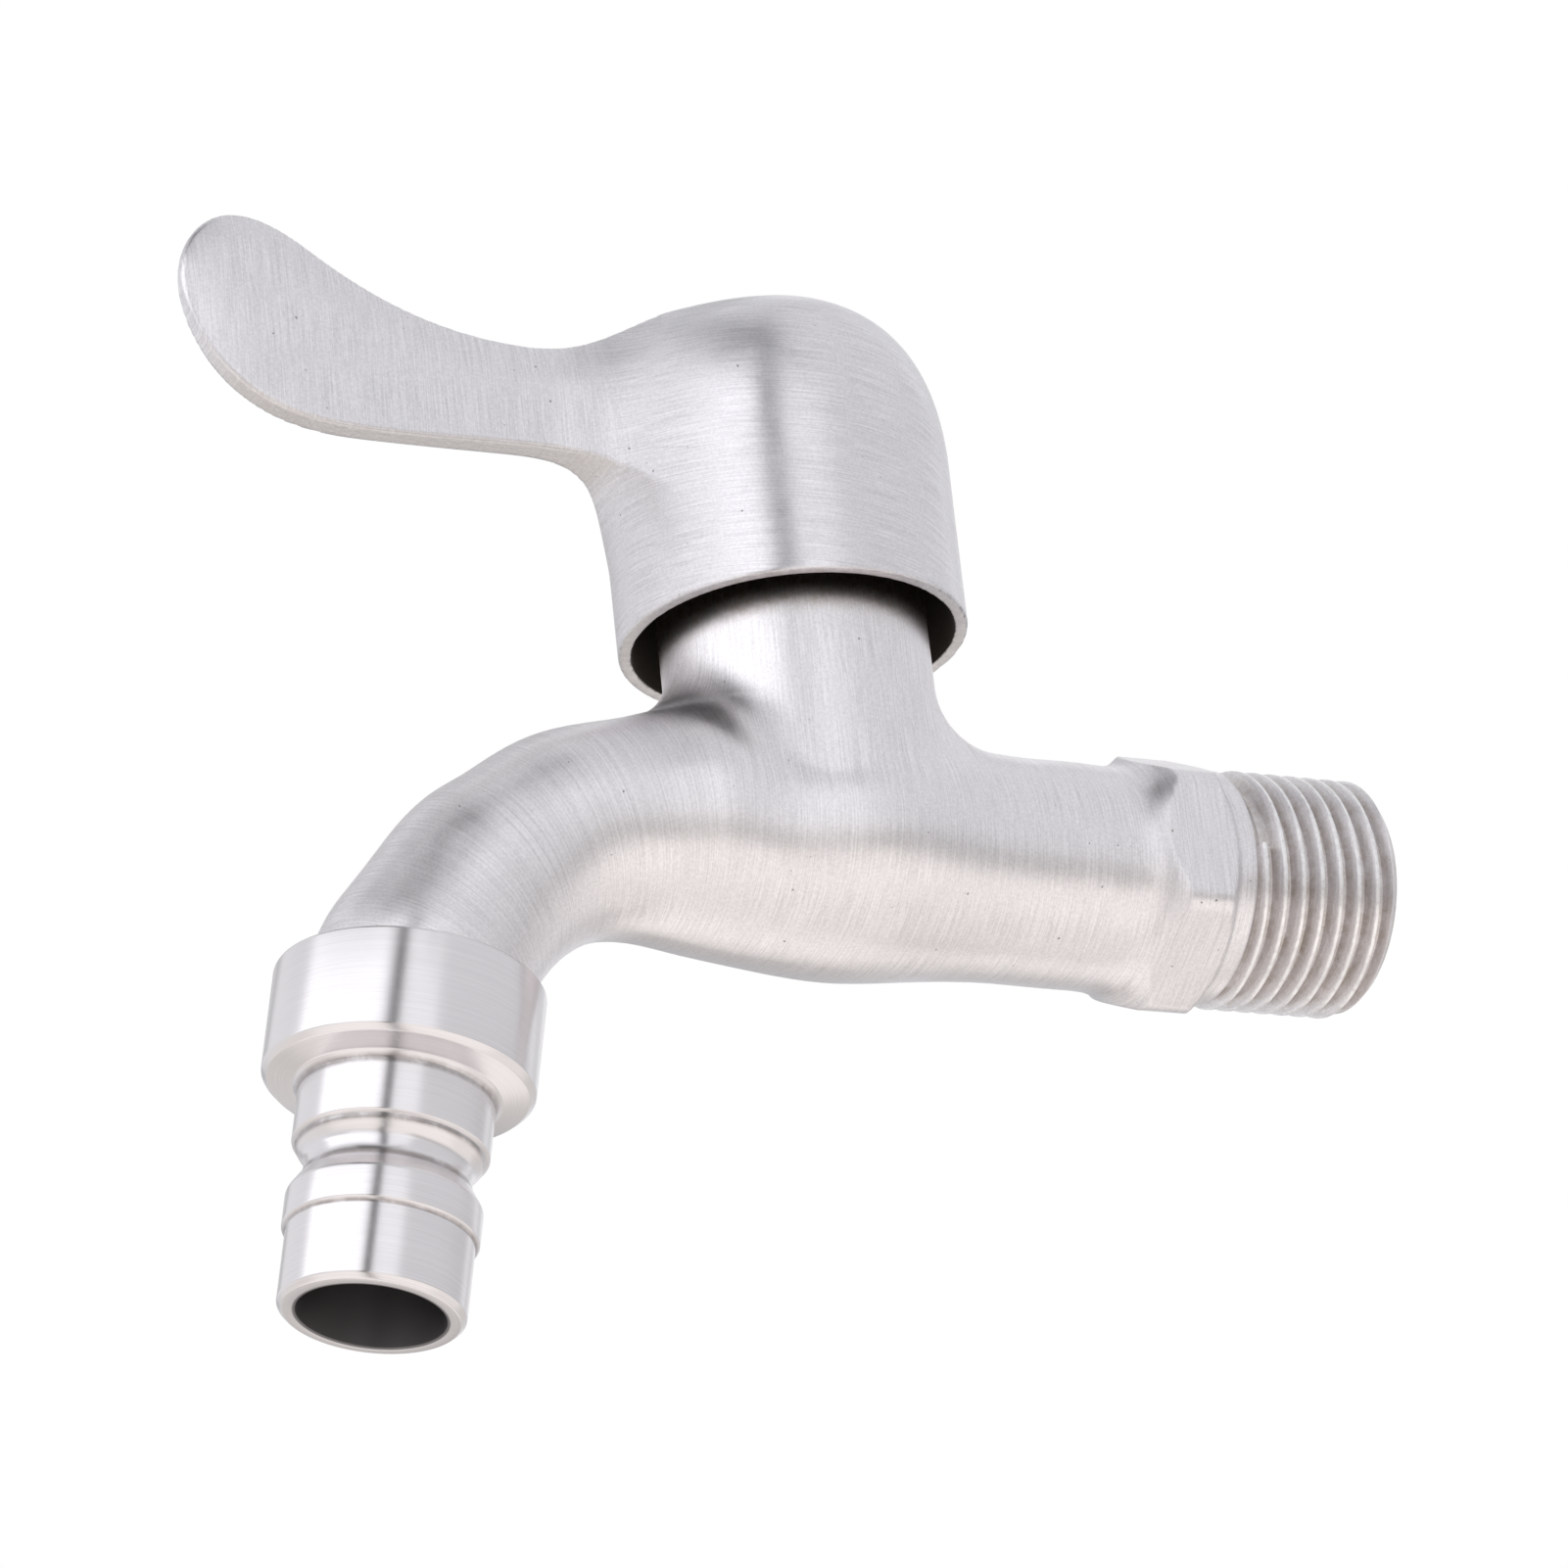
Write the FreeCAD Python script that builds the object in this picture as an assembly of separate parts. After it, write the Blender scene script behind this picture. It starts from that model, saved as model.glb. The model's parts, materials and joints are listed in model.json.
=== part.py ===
import FreeCAD, Part
import math
import os

# Wall-mounted garden tap with a domed lever handle over a quarter-turn ceramic disc valve.
# Lengths are in millimetres and angles in degrees.
# The shapes are drawn about the handle's axis: +Z up, +Y towards the wall, -Y to the spout and lever,
# and height 0 is the axis of the inlet. The finished pieces are then moved by the reach, so that the
# origin lies at the centre of the inlet's end face.

X, Y, Z = FreeCAD.Vector(1, 0, 0), FreeCAD.Vector(0, 1, 0), FreeCAD.Vector(0, 0, 1)
CENTRE = FreeCAD.Vector(0, 0, 0)

# Clearances
running_fit = 0.05
screwed_fit = 0.05
loose_fit = 0.30
seal_gap = 0.03

# Inlet: a half-inch parallel pipe thread, a turned band and a spanner hex
reach = 51.1
thread_major_r = 20.955 / 2
thread_minor_r = 18.631 / 2
thread_pitch = 1.814
thread_crest = 0.30
thread_flank_angle = 27.5
thread_length = 14.2
thread_end_chamfer = 0.9
inlet_bore_r = 7.2
band_r = 10.32
band_length = 2.1
hex_flats = 21.1
hex_corner_r = 2.6
hex_length = 6.6
hex_chamfer = 1.9
hex_blend = 4.5

# Body: barrel with a belly under the neck, neck and waterways
barrel_r = 9.75
barrel_rise = 0.2
belly_side = 2.5
belly_drop = 0.85
belly_y = 2.0
belly_spread = 9.0
neck_r = 11.65
neck_top = 26.0
spout_crease_r = 2.5
wall_crease_r = 7.5
seat_z = 4.0
seat_hole_r = 4.2
seat_web = 2.7
chamber_r = 9.2
chamber_top = 14.0
neck_thread_r = 9.8
inlet_bore_end = 12.5

# Spout: its centre line leaves the body level and bends down to the nozzle
spout_start = 11.0
spout_start_z = 1.25
spout_start_pull = 11.7
spout_end_pull = 17.2
spout_end_heading = 57.7
spout_r = 8.6
spout_root_flare = 2.0
spout_end_flare = 0.25
spout_wall = 3.1
outlet_duct_r = 4.2

# Nozzle: a turned piece that screws up on the end of the spout
nozzle_reach = 38.6
nozzle_drop = 15.1
nozzle_tilt = 11.5
nozzle_bore_r = 6.15
collar_r = 11.3
collar_length = 9.3
collar_chamfer = 0.5
collar_rim_round = 0.3
spigot_r = 8.55
spigot_length = 6.8
nozzle_washer_height = 1.5
nozzle_neck_r = 8.12
nozzle_neck_end = 14.9
groove_r = 6.9
groove_start = 16.4
groove_end = 17.9
ring_r = 8.07
ring_start = 19.8
ring_end = 22.6
ring_step = 0.3
tail_r = 7.72
tail_end = 29.6
tail_chamfer = 0.45
shoulder_step = 0.6
shoulder_drop = 0.32

# Valve stack, from the seat upwards
seal_height = 1.8
seal_outer_r = 7.6
seal_inner_r = 4.95
seal_support_wall = 0.7
disc_r = 7.5
fixed_disc_height = 2.4
moving_disc_height = 2.2
port_inner_r = 1.6
port_outer_r = 6.0
port_angle = 80.0
drive_slot_width = 2.6
drive_slot_depth = 1.0
drive_slot_length = 11.0
spindle_hub_r = 3.2
spindle_flange_r = 5.6
spindle_flange_height = 1.6
spindle_flange_gap = 2.2
wear_washer_height = 0.6
stem_r = 3.95
o_ring_thickness = 1.1
o_ring_lower_z = 20.0
o_ring_upper_z = 25.0
window_height = 3.0
window_width = 6.5
gasket_height = 0.9
housing_hex_flats = 20.0
housing_hex_height = 3.2
stem_tube_r = 6.6
stem_tube_top = 37.5
snap_ring_r = 5.0
snap_ring_height = 0.6
snap_ring_opening = 2.4
spline_bottom = 39.2
spline_top = 46.0
spline_teeth = 16
spline_depth = 0.45

# Handle: domed cap, lever blade and the boss that takes the spline bush
cap_r = 15.15
cap_wall = 1.19
cap_rim_z = 19.9
cap_shoulder_z = 34.8
cap_top = 51.2
cap_roof = 2.6
cap_shoulder_pull = 0.70
cap_crown_pull = 0.66
blade_thickness = 2.6
blade_edge_round = 0.6
boss_r = 7.6
bush_r = 5.4
bush_roof = 0.8
lug_width = 7.0
grub_screw_r = 2.0
grub_screw_length = 6.5
grub_screw_z = 42.6
grub_key_flats = 2.0
grub_key_depth = 2.2


def turned(points):
    """Solid turned about Z from a closed outline of (radius, height) points."""
    corners = [FreeCAD.Vector(r, 0, z) for r, z in points]
    face = Part.Face(Part.makePolygon(corners + corners[:1]))
    return face.revolve(CENTRE, Z, 360)


def ring(outer_r, inner_r, bottom, top):
    """Plain ring about Z."""
    return turned([(inner_r, bottom), (outer_r, bottom), (outer_r, top), (inner_r, top)])


def rod(radius, bottom, top):
    """Plain cylinder about Z."""
    return Part.makeCylinder(radius, top - bottom, FreeCAD.Vector(0, 0, bottom))


def along_inlet(radius, start, end):
    """Cylinder on the inlet's axis between two distances from the handle's axis."""
    return Part.makeCylinder(radius, end - start, FreeCAD.Vector(0, start, 0), Y)


def laid_along_y(shape):
    """Turns a shape drawn about Z so that its height runs towards the wall."""
    laid = shape.copy()
    laid.rotate(CENTRE, X, -90)
    return laid


def hex_prism(flats, bottom, top, corner_r=0.0):
    """Hexagonal prism about Z with two flats square to X and its long edges rounded."""
    corner = flats / math.sqrt(3)
    angles = [math.radians(30 + 60 * k) for k in range(6)]
    points = [FreeCAD.Vector(corner * math.cos(a), corner * math.sin(a), bottom) for a in angles]
    prism = Part.Face(Part.makePolygon(points + points[:1])).extrude(Z * (top - bottom))
    if corner_r:
        upright = [edge for edge in prism.Edges if edge.BoundBox.ZLength > (top - bottom) / 2]
        prism = prism.makeFillet(corner_r, upright)
    return prism


def loop(y, z, heading, half_width, half_depth, power=2.0):
    """Closed smooth loop square to a path in the X = 0 plane that dips by the heading."""
    count = 16
    dip = math.radians(heading)
    up = FreeCAD.Vector(0, -math.sin(dip), math.cos(dip))
    points = []
    for k in range(count):
        angle = 2 * math.pi * k / count - math.pi / 2
        c, s = math.cos(angle), math.sin(angle)
        across = math.copysign(abs(c) ** (2 / power), c) * half_width
        above = math.copysign(abs(s) ** (2 / power), s) * half_depth
        points.append(FreeCAD.Vector(across, y, z) + up * above)
    curve = Part.BSplineCurve()
    curve.interpolate(Points=points, PeriodicFlag=True)
    return Part.Wire(curve.toShape())


def largest_solid(shape):
    """The one solid that a cut or a fusion leaves."""
    return max(shape.Solids, key=lambda solid: solid.Volume)


# Distances from the handle's axis that follow from the sizes above
thread_start_y = reach - thread_length
hex_end_y = thread_start_y - band_length
hex_start_y = hex_end_y - hex_length
collar_top = FreeCAD.Vector(0, -nozzle_reach, -nozzle_drop)


def on_nozzle_axis(shape):
    """Moves a shape drawn below the origin, about Z, to the nozzle's place and tilt."""
    turned_shape = shape.copy()
    turned_shape.rotate(CENTRE, X, -nozzle_tilt)
    turned_shape.translate(collar_top)
    return turned_shape


def spout_station(t):
    """Centre, heading and outer radius of the spout at t from 0, at the body, to 1, at the collar."""
    heading = math.radians(spout_end_heading)
    p0 = (-spout_start, spout_start_z)
    p1 = (-spout_start - spout_start_pull, spout_start_z)
    p2 = (
        -nozzle_reach + spout_end_pull * math.cos(heading),
        -nozzle_drop + spout_end_pull * math.sin(heading),
    )
    p3 = (-nozzle_reach, -nozzle_drop)
    u = 1 - t
    poles = list(zip(p0, p1, p2, p3))
    y, z = (u**3 * a + 3 * u * u * t * b + 3 * u * t * t * c + t**3 * d for a, b, c, d in poles)
    dy, dz = (u * u * (b - a) + 2 * u * t * (c - b) + t * t * (d - c) for a, b, c, d in poles)
    radius = spout_r + spout_root_flare * u**3 + spout_end_flare * t**4
    return y, z, math.degrees(math.atan2(-dz, -dy)), radius


def barrel_station(y):
    """Half width and half depth of the barrel, whose belly lies under the neck."""
    belly = math.exp(-(((y - belly_y) / belly_spread) ** 2))
    return barrel_r + belly_side * belly, barrel_r + belly_drop * belly


def barrel_and_spout():
    """One smooth run from the hex, through the belly, to the end of the spout."""
    loops = []
    stations = 10
    step = (hex_start_y + spout_start - 5) / (stations - 1)
    for k in range(stations):
        y = hex_start_y - k * step
        half_width, half_depth = barrel_station(y)
        loops.append(loop(y, barrel_rise, 0, half_width, half_depth))
    for t in (0.0, 0.16, 0.32, 0.48, 0.64, 0.8, 0.91):
        y, z, heading, radius = spout_station(t)
        loops.append(loop(y, z, heading, radius, radius))
    end_r = spout_r + spout_end_flare
    loops.append(loop(collar_top.y, collar_top.z, 90 - nozzle_tilt, end_r, end_r))
    return Part.makeLoft(loops, True, False)


def body_half():
    """The +X half of the cast body with the crease round the neck rounded, wider at the wall side."""
    cast = barrel_and_spout().fuse(rod(neck_r, 0, neck_top))
    half_space = Part.makeBox(4 * reach, 4 * reach, 4 * reach, FreeCAD.Vector(0, -2 * reach, -2 * reach))
    half = cast.common(half_space)
    crease = []
    for edge in half.Edges:
        points = edge.discretize(9)
        on_neck = all(abs(math.hypot(p.x, p.y) - neck_r) < running_fit for p in points)
        if on_neck and min(p.z for p in points) > 1 and max(p.z for p in points) < neck_top - 1:
            crease.append(edge)
    return half.makeFillet(spout_crease_r, wall_crease_r, crease)


def straight_edges(corners):
    """Straight edges through (radius, height) corners in the Y = 0 plane."""
    places = [FreeCAD.Vector(r, 0, z) for r, z in corners]
    return [Part.LineSegment(a, b).toShape() for a, b in zip(places, places[1:])]


def revolved(edges):
    """Solid turned about Z from a closed outline of edges in the Y = 0 plane."""
    return Part.Face(Part.Wire(Part.__sortEdges__(edges))).revolve(CENTRE, Z, 360)


def spanner_hex():
    """Hex whose corners rise out of the barrel in one sweep and are turned down towards the band."""
    back = hex_start_y - hex_blend
    corner_r = hex_flats / math.sqrt(3)
    foot = FreeCAD.Vector(barrel_r, 0, back)
    belly = FreeCAD.Vector(barrel_r + 0.25 * (corner_r - barrel_r), 0, hex_start_y)
    crest = FreeCAD.Vector(corner_r, 0, hex_start_y + hex_blend / 2)
    sweep = Part.BSplineCurve()
    sweep.interpolate(Points=[foot, belly, crest], InitialTangent=Z, FinalTangent=X + Z)
    corners = [
        (crest.x, crest.z),
        (corner_r, hex_end_y - hex_chamfer / 2),
        (band_r, hex_end_y + hex_chamfer / 4),
        (0, hex_end_y + hex_chamfer / 4),
        (0, back),
        (foot.x, back),
    ]
    blank = revolved([sweep.toShape()] + straight_edges(corners))
    return blank.common(hex_prism(hex_flats, back - 1, hex_end_y + hex_chamfer, hex_corner_r))


def inlet_core():
    """Turned band behind the hex and the thread's core."""
    relief = band_r - thread_minor_r
    return turned([
        (0, hex_end_y - 1),
        (band_r, hex_end_y - 1),
        (band_r, thread_start_y),
        (thread_minor_r, thread_start_y + relief),
        (thread_minor_r, reach),
        (0, reach),
    ])


def thread_ridge():
    """Helical ridge of the pipe thread, sunk a little into the core."""
    sink = 0.15
    narrow = thread_crest / 2
    foot_r = thread_minor_r - sink
    wide = narrow + (thread_major_r - foot_r) * math.tan(math.radians(thread_flank_angle))
    start = thread_start_y + thread_pitch / 2
    helix = Part.makeHelix(thread_pitch, reach + thread_pitch - start, thread_minor_r)
    profile = Part.makePolygon([
        FreeCAD.Vector(foot_r, 0, -wide),
        FreeCAD.Vector(thread_major_r, 0, -narrow),
        FreeCAD.Vector(thread_major_r, 0, narrow),
        FreeCAD.Vector(foot_r, 0, wide),
        FreeCAD.Vector(foot_r, 0, -wide),
    ])
    ridge = Part.Wire(helix).makePipeShell([profile], True, True)
    ridge.translate(Z * start)
    return ridge


def inlet_end():
    """Spanner hex, turned band and the pipe thread with its free end chamfered."""
    beyond = reach + 2 * thread_pitch
    waste = turned([
        (0, reach),
        (thread_major_r - thread_end_chamfer, reach),
        (thread_major_r + thread_pitch, reach - thread_end_chamfer - thread_pitch),
        (thread_major_r + thread_pitch, beyond),
        (0, beyond),
    ])
    threaded = inlet_core().fuse(thread_ridge()).cut(waste)
    return spanner_hex().fuse(threaded)


def waterways():
    """Inlet bore, the hole through the seat, the valve chamber and the duct down the spout."""
    inlet = along_inlet(inlet_bore_r, inlet_bore_end, reach + 1)
    duct_z = seat_z - seat_web - seat_hole_r
    duct = Part.makeCylinder(seat_hole_r, inlet_bore_end + 1, FreeCAD.Vector(0, 0, duct_z), Y)
    elbow = Part.makeSphere(seat_hole_r, FreeCAD.Vector(0, 0, duct_z))
    seat_hole = rod(seat_hole_r, duct_z, seat_z + 1)
    chamber = rod(chamber_r, seat_z, neck_top)
    neck_bore = rod(neck_thread_r, chamber_top, neck_top + 1)
    drop = outlet_duct_r + seat_z
    loops = [
        loop(-chamber_r / 2, drop + 0.1, 20, outlet_duct_r, outlet_duct_r),
        loop(-spout_start, drop - 2.6, 28, outlet_duct_r, outlet_duct_r),
        loop(-spout_start - 5.5, drop - 5.6, 27, outlet_duct_r + 0.8, outlet_duct_r + 0.8),
    ]
    for t in (0.42, 0.56, 0.7, 0.82, 0.92, 1.0):
        y, z, heading, radius = spout_station(t)
        loops.append(loop(y, z, heading, radius - spout_wall, radius - spout_wall))
    spout_duct = Part.makeLoft(loops, True, False)
    spigot_bore = on_nozzle_axis(rod(nozzle_bore_r, -spigot_length - 1, collar_rim_round + 1))
    return [inlet, duct, elbow, seat_hole, chamber, neck_bore, spout_duct, spigot_bore]


def body():
    """Cast and machined body: inlet thread, hex, barrel, neck, spout and the spigot at its end."""
    half = body_half()
    whole = half.fuse(half.mirror(CENTRE, X))
    spigot = on_nozzle_axis(rod(spigot_r, -spigot_length, 2.0))
    whole = whole.fuse([spigot, laid_along_y(inlet_end())])
    return largest_solid(whole.cut(waterways()))


def nozzle():
    """Turned hose nozzle: screwed collar, neck, groove, retaining ring and plain tail."""
    socket_r = spigot_r + screwed_fit
    socket_end = spigot_length + nozzle_washer_height
    neck_start = collar_length + collar_chamfer
    outline = [
        (socket_r, 0),
        (collar_r - collar_rim_round, 0),
        (collar_r, -collar_rim_round),
        (collar_r, collar_chamfer - collar_length),
        (collar_r - collar_chamfer, -collar_length),
        (nozzle_neck_r + collar_chamfer, -neck_start),
        (nozzle_neck_r, -neck_start - collar_chamfer),
        (nozzle_neck_r, -nozzle_neck_end),
        (nozzle_neck_r - shoulder_drop, -nozzle_neck_end - shoulder_step),
        (groove_r, -groove_start),
        (groove_r, -groove_end),
        (ring_r, -ring_start),
        (ring_r, -ring_end),
        (tail_r, -ring_end - ring_step),
        (tail_r, tail_chamfer - tail_end),
        (tail_r - tail_chamfer, -tail_end),
        (nozzle_bore_r, -tail_end),
        (nozzle_bore_r, -socket_end),
        (socket_r, -socket_end),
    ]
    return on_nozzle_axis(turned(outline))


def nozzle_washer():
    """Flat sealing washer between the end of the spigot and the bottom of the nozzle's socket."""
    top = -spigot_length
    return on_nozzle_axis(ring(spigot_r - loose_fit / 2, nozzle_bore_r + loose_fit / 2,
                               top - nozzle_washer_height, top))


# Heights in the valve stack, each resting on the one below
seal_top = seat_z + seal_height
fixed_disc_top = seal_top + fixed_disc_height
moving_disc_top = fixed_disc_top + moving_disc_height
flange_bottom = moving_disc_top + spindle_flange_gap
flange_top = flange_bottom + spindle_flange_height
wear_washer_top = flange_top + wear_washer_height
housing_bottom = seat_z + seal_height / 2
housing_cavity_r = disc_r + 2 * running_fit
gasket_top = neck_top + gasket_height
housing_hex_top = gasket_top + housing_hex_height
groove_bottom_r = stem_r - o_ring_thickness + 2 * seal_gap
bush_bottom = spline_bottom + loose_fit
spline_core_r = stem_r - spline_depth


def port(inner_r, outer_r, bottom, top, start):
    """Sector-shaped water port between two radii."""
    sector = Part.makeCylinder(outer_r, top - bottom, FreeCAD.Vector(0, 0, bottom), Z, port_angle)
    sector = sector.cut(rod(inner_r, bottom, top))
    sector.rotate(CENTRE, Z, start)
    return sector


def disc_seal():
    """Rubber ring that seals the fixed disc to the seat."""
    return ring(seal_outer_r - 2 * running_fit, seal_inner_r, seat_z, seal_top)


def seal_support():
    """Stiff liner that keeps the rubber ring from being drawn into the seat's hole."""
    outer_r = seal_inner_r - seal_gap
    return ring(outer_r, outer_r - seal_support_wall, seat_z, seal_top)


def fixed_disc():
    """Lower ceramic disc with two ports that stay in line with the seat."""
    disc = rod(disc_r, seal_top, fixed_disc_top)
    for start in (0, 180):
        turned_by = start - port_angle / 2
        disc = disc.cut(port(port_inner_r, port_outer_r, seal_top, fixed_disc_top, turned_by))
    return disc


def moving_disc():
    """Upper ceramic disc, closed at rest, with a slot for the spindle's dog across its top."""
    disc = rod(disc_r, fixed_disc_top, moving_disc_top)
    for start in (90, 270):
        turned_by = start - port_angle / 2
        disc = disc.cut(port(port_inner_r, port_outer_r, fixed_disc_top, moving_disc_top, turned_by))
    length, width = drive_slot_length + 2 * running_fit, drive_slot_width + 2 * running_fit
    slot_bottom = moving_disc_top - drive_slot_depth
    corner = FreeCAD.Vector(-length / 2, -width / 2, slot_bottom)
    return largest_solid(disc.cut(Part.makeBox(length, width, 2 * drive_slot_depth, corner)))


def cartridge_housing():
    """Brass screw-in housing that holds the discs below and guides the stem above."""
    stem_bore_r = stem_r + running_fit
    outline = [
        (housing_cavity_r, housing_bottom),
        (chamber_r - loose_fit, housing_bottom),
        (chamber_r - loose_fit, chamber_top),
        (neck_thread_r - screwed_fit, chamber_top),
        (neck_thread_r - screwed_fit, gasket_top),
        (stem_tube_r, gasket_top),
        (stem_tube_r, stem_tube_top),
        (stem_bore_r, stem_tube_top),
        (stem_bore_r, wear_washer_top),
        (housing_cavity_r, wear_washer_top),
    ]
    housing = turned(outline).fuse(hex_prism(housing_hex_flats, gasket_top, housing_hex_top, 1.0))
    housing = housing.cut(rod(stem_bore_r, wear_washer_top - 1, stem_tube_top + 1))
    window_bottom = moving_disc_top + running_fit
    for across in (2 * reach, window_width), (window_width, 2 * reach):
        corner = FreeCAD.Vector(-across[0] / 2, -across[1] / 2, window_bottom)
        housing = housing.cut(Part.makeBox(across[0], across[1], window_height, corner))
    return largest_solid(housing)


def housing_gasket():
    """Flat gasket between the neck's end and the housing's hex."""
    return ring(neck_r - loose_fit, neck_thread_r + running_fit, neck_top, gasket_top)


def wear_washer():
    """Thin slippery washer between the spindle's flange and the housing."""
    return ring(housing_cavity_r - loose_fit, stem_r + 2 * running_fit, flange_top, wear_washer_top)


def spline_star(tip_r, root_r, bottom, top):
    """Toothed prism about Z for the splined end and for the socket that takes it."""
    points = []
    for k in range(2 * spline_teeth):
        for lean in (-0.32, 0.32):
            angle = math.pi * (k + lean) / spline_teeth
            radius = tip_r if k % 2 == 0 else root_r
            points.append(FreeCAD.Vector(radius * math.cos(angle), radius * math.sin(angle), bottom))
    return Part.Face(Part.makePolygon(points + points[:1])).extrude(Z * (top - bottom))


def o_ring_groove(height):
    """Cut for an o-ring in the stem, centred at a height."""
    half = o_ring_thickness / 2 + seal_gap
    return ring(stem_r + 1, groove_bottom_r, height - half, height + half)


def spindle():
    """Stem with a dog for the moving disc, a thrust flange, two o-ring grooves and a splined end."""
    shaft = turned([
        (0, moving_disc_top),
        (spindle_hub_r, moving_disc_top),
        (spindle_hub_r, flange_bottom),
        (spindle_flange_r, flange_bottom),
        (spindle_flange_r, flange_top),
        (stem_r, flange_top),
        (stem_r, spline_bottom),
        (0, spline_bottom),
    ])
    dog_bottom = moving_disc_top - drive_slot_depth + running_fit
    corner = FreeCAD.Vector(-drive_slot_length / 2, -drive_slot_width / 2, dog_bottom)
    dog = Part.makeBox(drive_slot_length, drive_slot_width, flange_bottom - dog_bottom, corner)
    shaft = shaft.fuse([dog, spline_star(stem_r, spline_core_r, spline_bottom, spline_top)])
    snap_groove = ring(stem_r + 1, stem_r - snap_ring_height, stem_tube_top + running_fit,
                       stem_tube_top + snap_ring_height + 3 * running_fit)
    grooves = [o_ring_groove(o_ring_lower_z), o_ring_groove(o_ring_upper_z), snap_groove]
    return largest_solid(shaft.cut(grooves))


def spindle_o_ring(height):
    """Rubber ring in one of the stem's grooves."""
    thickness = o_ring_thickness - 2 * seal_gap
    middle_r = groove_bottom_r + seal_gap / 2 + thickness / 2
    return Part.makeTorus(middle_r, thickness / 2, FreeCAD.Vector(0, 0, height), Z)


def snap_ring():
    """Open spring ring in the stem's groove that keeps the spindle in the housing."""
    bottom = stem_tube_top + 2 * running_fit
    top = bottom + snap_ring_height
    whole = ring(snap_ring_r, stem_r - snap_ring_height + seal_gap, bottom, top)
    corner = FreeCAD.Vector(0, -snap_ring_opening / 2, bottom)
    return whole.cut(Part.makeBox(2 * snap_ring_r, snap_ring_opening, snap_ring_height, corner))


def cap_solid(radius, rim, shoulder, top):
    """Solid dome on a straight skirt: the shoulder is one smooth curve up to a level crown."""
    rise = top - shoulder
    curve = Part.BezierCurve()
    curve.setPoles([
        FreeCAD.Vector(radius, 0, shoulder),
        FreeCAD.Vector(radius, 0, shoulder + cap_shoulder_pull * rise),
        FreeCAD.Vector(cap_crown_pull * radius, 0, top),
        FreeCAD.Vector(0, 0, top),
    ])
    corners = [(0, top), (0, rim), (radius, rim), (radius, shoulder)]
    return revolved([curve.toShape()] + straight_edges(corners))


# Lever blade: its outline over the top and back below, as (share of the way from root to tip, height)
blade_root = 11.0
blade_reach = 54.15
blade_outline = [
    (0.0, 47.0),
    (0.139, 46.3),
    (0.297, 46.0),
    (0.503, 47.7),
    (0.705, 52.2),
    (0.807, 54.9),
    (0.897, 55.4),
    (0.973, 52.9),
    (1.0, 48.4),
    (0.971, 43.6),
    (0.904, 39.6),
    (0.797, 36.9),
    (0.649, 35.9),
    (0.440, 35.9),
    (0.232, 36.0),
    (0.0, 36.0),
]


def blade():
    """Upright lever blade with its edge rounded on both faces."""
    places = []
    for share, height in blade_outline:
        distance = blade_root + share * (blade_reach - blade_root)
        places.append(FreeCAD.Vector(-blade_thickness / 2, -distance, height))
    curve = Part.BSplineCurve()
    curve.interpolate(Points=places, InitialTangent=-Y, FinalTangent=Y)
    edge = curve.toShape()
    closing = Part.LineSegment(places[-1], places[0]).toShape()
    solid = Part.Face(Part.Wire([edge, closing])).extrude(X * blade_thickness)
    rims = [rim for rim in solid.Edges if rim.Length > blade_reach]
    return solid.makeFillet(blade_edge_round, rims)


def root_flare():
    """Swelling that carries the blade into the side of the dome."""
    thin = blade_thickness / 2 - 0.05
    loops = []
    for distance, half_width, low, high in (
        (21.0, thin, 36.1, 45.8),
        (19.0, thin + 0.15, 35.5, 46.1),
        (17.3, thin + 0.75, 34.1, 46.4),
        (15.9, thin + 1.7, 32.3, 46.9),
        (14.5, thin + 3.2, 30.6, 47.3),
        (12.5, thin + 5.2, 29.9, 47.7),
        (10.0, thin + 6.0, 29.9, 47.7),
    ):
        loops.append(loop(-distance, (low + high) / 2, 0, half_width, (high - low) / 2, 2.6))
    return Part.makeLoft(loops, True, False)


def handle():
    """Cast handle: hollow dome, lever blade, boss for the spline bush and a lug for the grub screw."""
    outer = cap_solid(cap_r, cap_rim_z, cap_shoulder_z, cap_top)
    cavity_r = cap_r - cap_wall
    cavity = cap_solid(cavity_r, cap_rim_z - 1, cap_shoulder_z - cap_wall, cap_top - cap_roof)
    lug_corner = FreeCAD.Vector(-lug_width / 2, 0, bush_bottom)
    lug = Part.makeBox(lug_width, cap_r, cap_top - bush_bottom, lug_corner)
    cavity = cavity.cut([rod(boss_r, bush_bottom, cap_top), lug])
    socket = rod(bush_r + running_fit, bush_bottom - 1, spline_top + bush_roof + running_fit)
    return largest_solid(outer.fuse([blade(), root_flare()]).cut([cavity, socket, grub_hole()]))


def grub_hole():
    """Threaded hole through the back of the dome, its lug and the bush, down to the spindle."""
    return Part.makeCylinder(grub_screw_r + screwed_fit, cap_r + 1, FreeCAD.Vector(0, 0, grub_screw_z), Y)


def handle_bush():
    """Splined bush pressed into the handle's boss."""
    bush = rod(bush_r, bush_bottom, spline_top + bush_roof)
    tip_r, root_r = stem_r + running_fit, spline_core_r + running_fit
    socket = spline_star(tip_r, root_r, bush_bottom - 1, spline_top + running_fit)
    return largest_solid(bush.cut([socket, grub_hole()]))


def handle_grub_screw():
    """Socket grub screw that holds the handle on the spindle."""
    start = stem_r + seal_gap
    screw = Part.makeCylinder(grub_screw_r, grub_screw_length, CENTRE, Z)
    key = hex_prism(grub_key_flats, grub_screw_length - grub_key_depth, grub_screw_length + 1)
    screw = screw.cut(key)
    screw.rotate(CENTRE, X, -90)
    screw.translate(FreeCAD.Vector(0, start, grub_screw_z))
    return screw


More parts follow.
